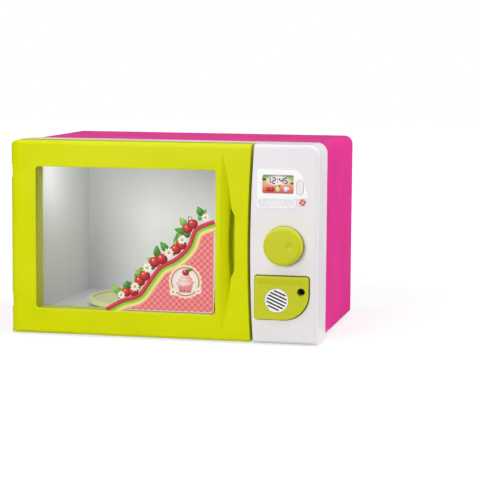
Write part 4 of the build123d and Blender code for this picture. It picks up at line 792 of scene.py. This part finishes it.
DAISIES = ((0.14, 5, 5.2), (0.28, 9, 6.0), (0.445, 10, 6.4))
DAISIES += ((0.61, 9, 6.4), (0.785, 9, 5.8), (0.95, 6, 5.2))
petals, pollen = [], []
for share, above, size in DAISIES:
    spot, heading = along(sash_path, share, above)
    petals += daisy(*spot, size)
    pollen.append(ellipse(*spot, 0.28 * size, 0.27 * size, 0, 16))
film_print("film_petals", petals, 7.3, petal_ink)
film_print("film_pollen", pollen, 7.8, pollen_ink)

# %% [markdown]
# ## Cupcake on a doily
# The tablecloth needs one thing to look at. A paper doily is a disc with a scalloped rim, which
# is one cosine added to a radius. On it stands a cupcake: a pleated paper cup, three rolls of
# icing that each lie on the one below, and a cherry. A few daisies sit beside it.

# %% Doily and cupcake
doily_x, doily_z, doily_r = 31, 74, 21
SCALLOPS, RIM_STEPS = 20, 120
scallops = []
for i in range(RIM_STEPS):
    a = math.tau * i / RIM_STEPS
    r = doily_r * (1 + 0.03 * math.cos(SCALLOPS * a))
    scallops.append((doily_x + r * math.cos(a), doily_z + r * math.sin(a)))
film_print("doily", [scallops], 2.6, cream_ink)
film_print("doily_ring", [ellipse(doily_x, doily_z, 18, 18, steps=64)], 3.1, crimson_ink)
film_print("doily_field", [ellipse(doily_x, doily_z, 16.9, 16.9, steps=64)], 3.6, petal_ink)

cup_low, cup_high, cup_foot, cup_mouth, pleats = doily_z - 13.5, doily_z - 3.5, 7.2, 9.8, 9
cup_shape = [
    (doily_x - cup_foot, cup_low), (doily_x + cup_foot, cup_low),
    (doily_x + cup_mouth, cup_high), (doily_x - cup_mouth, cup_high),
]
film_print("cupcake_cup", [cup_shape], 4.1, crimson_ink)
pleat_shapes = []
for k in range(pleats):
    a, b = (2 * k + 0.55) / (2 * pleats), (2 * k + 1.45) / (2 * pleats)
    foot = [doily_x + cup_foot * (2 * s - 1) for s in (a, b)]
    mouth = [doily_x + cup_mouth * (2 * s - 1) for s in (b, a)]
    pleat_shapes.append([*((x, cup_low) for x in foot), *((x, cup_high) for x in mouth)])
film_print("cupcake_pleats", pleat_shapes, 4.6, shine_ink)
icing_ink = ink("ink screen printed icing", "#fff4ee", "#f0a3a4", centre=(-0.2, 0.35))
for k, (rise, wide, high) in enumerate(((-1.6, 11.6, 4.0), (3.0, 9.0, 3.6), (6.9, 6.0, 3.1))):
    shape = ellipse(doily_x, doily_z + rise, wide, high, 4)
    film_print(f"cupcake_icing_{k + 1}", [shape], 5.1 + 0.6 * k, icing_ink)
top_cherry = (doily_x + 0.4, doily_z + 11.6)
film_print("cupcake_leaf", [leaf(top_cherry[0] + 1, top_cherry[1] + 2, 9, 4.6, 18)], 6.9, leaf_ink)
film_print("cupcake_cherry", [fruit(*top_cherry, 4.2)], 7.3, cherry_ink)
glint = ellipse(top_cherry[0] - 1.5, top_cherry[1] + 1.5, 1.0, 0.6, 40, 14)
film_print("cupcake_shine", [glint], 7.8, shine_ink)
spots = ((doily_x - 15.5, doily_z - 13), (doily_x + 16.5, doily_z - 11))
film_print("doily_petals", daisy(*spots[0], 5.2) + daisy(*spots[1], 4.6), 4.1, petal_ink)
middles = [ellipse(*spots[0], 1.5, 1.4, 0, 16), ellipse(*spots[1], 1.3, 1.25, 0, 16)]
film_print("doily_pollen", middles, 4.7, pollen_ink)

# %% [markdown]
# ## Display label
# The display isn't a real screen. It's a paper label under gloss film, printed green at the top,
# orange and red below, with a white glow behind the time. The ground is a gradient along Z and
# the glow is a spherical gradient squashed to an oval, both sized in millimetres on the label.

# %% Label ground
label_low, label_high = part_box("display_label")
label_x = (label_low[0] + label_high[0]) / 2
label_z = (label_low[2] + label_high[2]) / 2
GLOW_WIDE, GLOW_HIGH, GLOW_RISE = 17.5 * MM, 7.2 * MM, 4.4 * MM
label_ink, tree, shader = blank("paper label printed")
shader.inputs["Roughness"].default_value = 0.25
place = add(tree, "ShaderNodeTexCoord")
parts = add(tree, "ShaderNodeSeparateXYZ", {0: place.outputs["Object"]})
limits = {"From Min": label_low[2], "From Max": label_high[2]}
height = add(tree, "ShaderNodeMapRange", {"Value": parts.outputs["Z"], **limits})
stops = [(0.0, "#b8594a"), (0.12, "#d56a50"), (0.35, "#f08c66"), (0.52, "#f0b878")]
stops += [(0.7, "#b9c873"), (0.9, "#86ad55"), (1.0, "#6f9150")]
bands = add(tree, "ShaderNodeValToRGB", {"Fac": height.outputs["Result"]}, stops)
glow_place = add(
    tree,
    "ShaderNodeMapping",
    {
        "Vector": place.outputs["Object"],
        "Location": (-label_x / GLOW_WIDE, 0, -(label_z + GLOW_RISE) / GLOW_HIGH),
        "Scale": (1 / GLOW_WIDE, 0, 1 / GLOW_HIGH),
    },
)
glow = add(tree, "ShaderNodeTexGradient", {0: glow_place.outputs[0]}, gradient_type="SPHERICAL")
lift = add(tree, "ShaderNodeMapRange", {"Value": glow.outputs["Fac"], "From Max": 0.45})
face = add(
    tree,
    "ShaderNodeMix",
    {0: lift.outputs["Result"], 6: bands.outputs["Color"], 7: linear("#fdeef2")},
    data_type="RGBA",
)
tree.links.new(face.outputs[2], shader.inputs["Base Color"])
nodes["display_label"].data.materials[0] = label_ink
print("label", [round((h - l) / MM, 1) for l, h in zip(label_low, label_high)], "mm")

# %% [markdown]
# ## Time and icons
# The time is drawn as seven-segment figures, which every clock display shares. Each figure
# switches some of seven bars on, so the figures are a table of bars and one loop. Three small
# icons stand for things to cook.

# %% Seven-segment time
BARS = {"1": "bc", "2": "abged", "4": "fgbc", "5": "afgcd"}
FIGURE_WIDE, FIGURE_HIGH, BAR, GAP = 4.1, 6.5, 1.6, 0.15


def figure(x, z, bars):
    """Seven-segment bars of one figure whose lower left corner is at (x, z)."""
    w, h, t = FIGURE_WIDE, FIGURE_HIGH, BAR / 2
    ends = {
        "a": ((0, h), (w, h)),
        "b": ((w, h), (w, h / 2)),
        "c": ((w, h / 2), (w, 0)),
        "d": ((0, 0), (w, 0)),
        "e": ((0, h / 2), (0, 0)),
        "f": ((0, h), (0, h / 2)),
        "g": ((0, h / 2), (w, h / 2)),
    }
    shapes = []
    for bar in bars:
        start, end = (Vector(p) for p in ends[bar])
        run = (end - start).normalized()
        side = Vector((-run.y, run.x)) * t
        start, end = start + run * GAP, end - run * GAP
        near, far = start + run * t, end - run * t
        outline = [start, near + side, far + side, end, far - side, near - side]
        shapes.append([(x + p.x, z + p.y) for p in outline])
    return shapes


def on_label(points):
    """Points given from the label's middle, in the oven's millimetres."""
    return [(label_x / MM + x, label_z / MM + z) for x, z in points]


def label_print(name, shapes, layer, material, surface_y=label_low[1]):
    """Ink on the display's label or on another small part of the panel."""
    return printed(name, shapes, surface_y, layer, material, "oven")


dark_ink = ink("ink offset printed plum", "#5b3550", "#4a2a44", centre=(0, 0))
lx, lz = label_x / MM, label_z / MM
time_shapes = []
for x, text in ((-13.8, "1"), (-7.4, "2"), (1.8, "4"), (7.2, "5")):
    time_shapes += figure(lx + x, lz + 1.1, BARS[text])
time_shapes += [ellipse(lx - 0.7, lz + z, 0.7, 0.75, 0, 10) for z in (2.6, 5.8)]
label_print("display_time", time_shapes, 1, dark_ink)

# %% Icons and marks
mark_ink = ink("ink offset printed bronze", "#5a4a1c", "#4a3a14", centre=(0, 0))
MARKS = ((-19.4, 4.2, -15.0, 7.0), (15.2, 0.2, 19.2, 2.4))
marks = [on_label([(a, b), (c, b), (c, d), (a, d)]) for a, b, c, d in MARKS]
label_print("display_marks", marks, 1, mark_ink)
for name, x, layer in (("left", -12.4, 1), ("right", -7.6, 2)):
    label_print(f"display_cherry_{name}", [fruit(lx + x, lz - 6.4, 3.1)], layer, cherry_ink)
pear_ink = ink("ink offset printed pear", "#f6f6b8", "#c3d070")
PEAR = ((-0.4, -1.9), (0.9, -3.6), (2.3, -6.6), (-0.2, -9.3), (-2.8, -6.8), (-1.6, -3.7))
pear = smooth(on_label([*PEAR, PEAR[0]]), 6)
label_print("display_pear", [pear[:-1]], 1, pear_ink)
label_print("display_leaf", [leaf(lx - 0.2, lz - 2.6, 4.6, 2.4, 24)], 2, leaf_ink)
cup_ink = ink("ink offset printed sky", "#ffffff", "#b9b4dc", centre=(0, 0.3))
CUP = ((6.6, -3.0), (12.4, -3.0), (11.4, -8.8), (7.6, -8.8))
label_print("display_handle", [ellipse(lx + 12.6, lz - 5.4, 1.5, 1.7, 0, 14)], 1, cup_ink)
label_print("display_cup", [on_label(CUP)], 2, cup_ink)

# %% [markdown]
# The lamp's lens has four raised dots, and each is inked dark red, so that the lamp reads as a
# lit pattern from across a room. The ink covers a little less than the dot.

# %% Inked dots on the lamp
lamp_low, lamp_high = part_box("lamp_lens")
lamp_x, lamp_z = [(lamp_low[i] + lamp_high[i]) / 2 / MM for i in (0, 2)]
DOTS_OUT, DOT_RADIUS = 2.5, 1.1
dot_ink = ink("ink pad printed dark red", "#c8302c", "#b42226", centre=(0, 0))
dots = []
for k in range(4):
    a = math.radians(10 + 90 * k)
    x, z = lamp_x + DOTS_OUT * math.cos(a), lamp_z + DOTS_OUT * math.sin(a)
    dots.append(ellipse(x, z, DOT_RADIUS, DOT_RADIUS, 0, 20))
label_print("lamp_dots", dots, 0.5, dot_ink, lamp_low[1])

# %% [markdown]
# ## Floor and light
# The toy stands in a plain white setting. A floor that is only lit would come out grey beside the
# white world, so for the camera it also glows, and the sum of both is white. The oven's soft
# shadow takes away the lit part only, and stays visible. Farther off, where the lamps fade, the
# glow grows to full white, so no horizon shows. A mask tells the rays that see the setting from
# those that only carry light.
#
# The white world fills the shadows. It is dimmer for the light that it casts than for what the
# camera and the reflections see of it.

# %% Floor
def seen_directly(tree):
    """1 for rays from the camera, a mirror or a clear sheet, and 0 for those that only light."""
    ray = add(tree, "ShaderNodeLightPath")
    seen = ray.outputs["Is Camera Ray"]
    for kind in ("Is Transmission Ray", "Is Glossy Ray"):
        either = add(tree, "ShaderNodeMath", {0: seen, 1: ray.outputs[kind]}, operation="MAXIMUM")
        seen = either.outputs[0]
    return seen


FLOOR_HALF = 6
GLOW_NEAR, FADE_FROM, FADE_TO = 0.72, 0.45, 1.3
paper, tree, shader = blank("paper roll white")
tree.nodes.remove(shader)
lit = add(tree, "ShaderNodeBsdfDiffuse", {"Color": linear("#cfcfcf")})
dim = add(tree, "ShaderNodeBsdfDiffuse", {"Color": linear("#a0a0a0")})
place = add(tree, "ShaderNodeTexCoord")
away = add(tree, "ShaderNodeVectorMath", {0: place.outputs["Object"]}, operation="LENGTH")
growth = {"Value": away.outputs["Value"], "From Min": FADE_FROM, "From Max": FADE_TO}
fade = add(tree, "ShaderNodeMapRange", {**growth, "To Min": GLOW_NEAR, "To Max": 1})
glow = add(tree, "ShaderNodeEmission", {"Strength": fade.outputs["Result"]})
both = add(tree, "ShaderNodeAddShader", {0: dim.outputs[0], 1: glow.outputs[0]})
mask = seen_directly(tree)
choice = add(tree, "ShaderNodeMixShader", {0: mask, 1: lit.outputs[0], 2: both.outputs[0]})
tree.links.new(choice.outputs[0], tree.nodes["Material Output"].inputs["Surface"])
build = bmesh.new()
corners = [(x * FLOOR_HALF, y * FLOOR_HALF, 0) for x, y in ((-1, -1), (1, -1), (1, 1), (-1, 1))]
build.faces.new([build.verts.new(corner) for corner in corners])
floor = made_of(paper, "floor", build)
print("floor", [round(v, 1) for v in floor.dimensions])

# %% World
world = bpy.data.worlds.new("white_room")
world.use_nodes = True
scene.world = world
tree = world.node_tree
tree.nodes.clear()
FILL = 0.26
fill, white = [
    add(tree, "ShaderNodeBackground", {"Color": linear("#ffffff"), "Strength": strength})
    for strength in (FILL, 1)
]
mask = seen_directly(tree)
choice = add(tree, "ShaderNodeMixShader", {0: mask, 1: fill.outputs[0], 2: white.outputs[0]})
add(tree, "ShaderNodeOutputWorld", {"Surface": choice.outputs[0]})
print("world fill", FILL)

# %% [markdown]
# Four soft boxes do most of the rest. The key stands low and a little left of the front, so that
# it shades the right-hand walls of the hollows. A second one at the right lights the pink side,
# which the key can't reach, and is left out of reflections, because its glare would bleach the
# top in a view from the left. One overhead lights the top, and a narrow one above the brow draws
# a pale line along the door's top edge. The fifth is a slim strip under the cavity's roof, because
# a deep box swallows the light that enters by its window.

# %% Soft boxes
def softbox(name, target, side, rise, distance, wide, high, power):
    """A soft box aimed at a target, side degrees right of the front and rise degrees up."""
    data = bpy.data.lights.new(name, "AREA")
    data.shape = "RECTANGLE"
    data.size, data.size_y = wide, high
    data.energy = power
    box = bpy.data.objects.new(name, data)
    turn, lift = math.radians(side), math.radians(rise)
    level = math.cos(lift)
    towards = Vector((math.sin(turn) * level, -math.cos(turn) * level, math.sin(lift)))
    box.location = Vector(target) + towards * distance
    box.rotation_mode = "QUATERNION"
    box.rotation_quaternion = towards.to_track_quat("Z", "Y")
    scene.collection.objects.link(box)
    print(name, [round(v, 2) for v in box.location])
    return box


MIDDLE = (0, 0, 0.12)
liner_low, liner_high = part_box("cavity_liner")
FROM_LEFT, FROM_FRONT, BELOW_ROOF = 100 * MM, 30 * MM, 24 * MM
ROOF = (liner_low[0] + FROM_LEFT, liner_low[1] + FROM_FRONT, liner_high[2] - BELOW_ROOF)
# Name: what it's aimed at, degrees right and up, distance, width and height in metres, watts
LAMPS = {
    "key_softbox": (MIDDLE, -12, 12, 3.0, 0.8, 0.8, 36),
    "side_softbox": (MIDDLE, 102, 16, 2.6, 1.0, 1.2, 41),
    "top_softbox": (MIDDLE, 0, 80, 1.6, 1.2, 0.6, 9),
    "brow_softbox": (MIDDLE, -28, 47, 1.9, 1.2, 0.5, 5.5),
    "cavity_lamp": (ROOF, 35, 35, 0, 0.14, 0.02, 0.082),
}
lamps = {name: softbox(name, *numbers) for name, numbers in LAMPS.items()}
lamps["side_softbox"].visible_glossy = lamps["cavity_lamp"].visible_glossy = False
lamps["cavity_lamp"].visible_camera = False
scene.view_settings.view_transform = "Standard"

# %% [markdown]
# Gloss mirrors whatever stands around the toy, and white paper there would wash the colour out
# of its sides and front. A studio hangs black velvet just outside the frame and lays it on the
# floor up to the toy. Here one curve goes round the back and a wider, taller one round the front,
# past the lamps, and only reflections can see them.

# %% Black velvet around
velvet_cloth, tree, shader = blank("cotton velvet black")
shader.inputs["Base Color"].default_value = linear("#101010")
shader.inputs["Roughness"].default_value = 1


def velvet(name, middle_y, facing, near, far, high):
    """A curved curtain and its apron on the floor; facing is 1 for the back and -1 for the front."""
    build = bmesh.new()
    rows = []
    for angle in range(-105, 106, 15):
        a = math.radians(angle)
        row = []
        for r, z in ((near, MM), (far, MM), (far, high)):
            row.append(build.verts.new((r * math.sin(a), middle_y + facing * r * math.cos(a), z)))
        rows.append(row)
    for one, two in zip(rows, rows[1:]):
        for k in (0, 1):
            build.faces.new((one[k], two[k], two[k + 1], one[k + 1]))
    curtain = made_of(velvet_cloth, name, build)
    for sees in ("camera", "diffuse", "transmission", "shadow"):
        setattr(curtain, f"visible_{sees}", False)
    print(name, [round(v, 2) for v in curtain.dimensions])


velvet("velvet_back", 0.05, 1, 0.12, 0.9, 0.75)
velvet("velvet_front", -0.16, -1, 0.03, 3.6, 1.8)
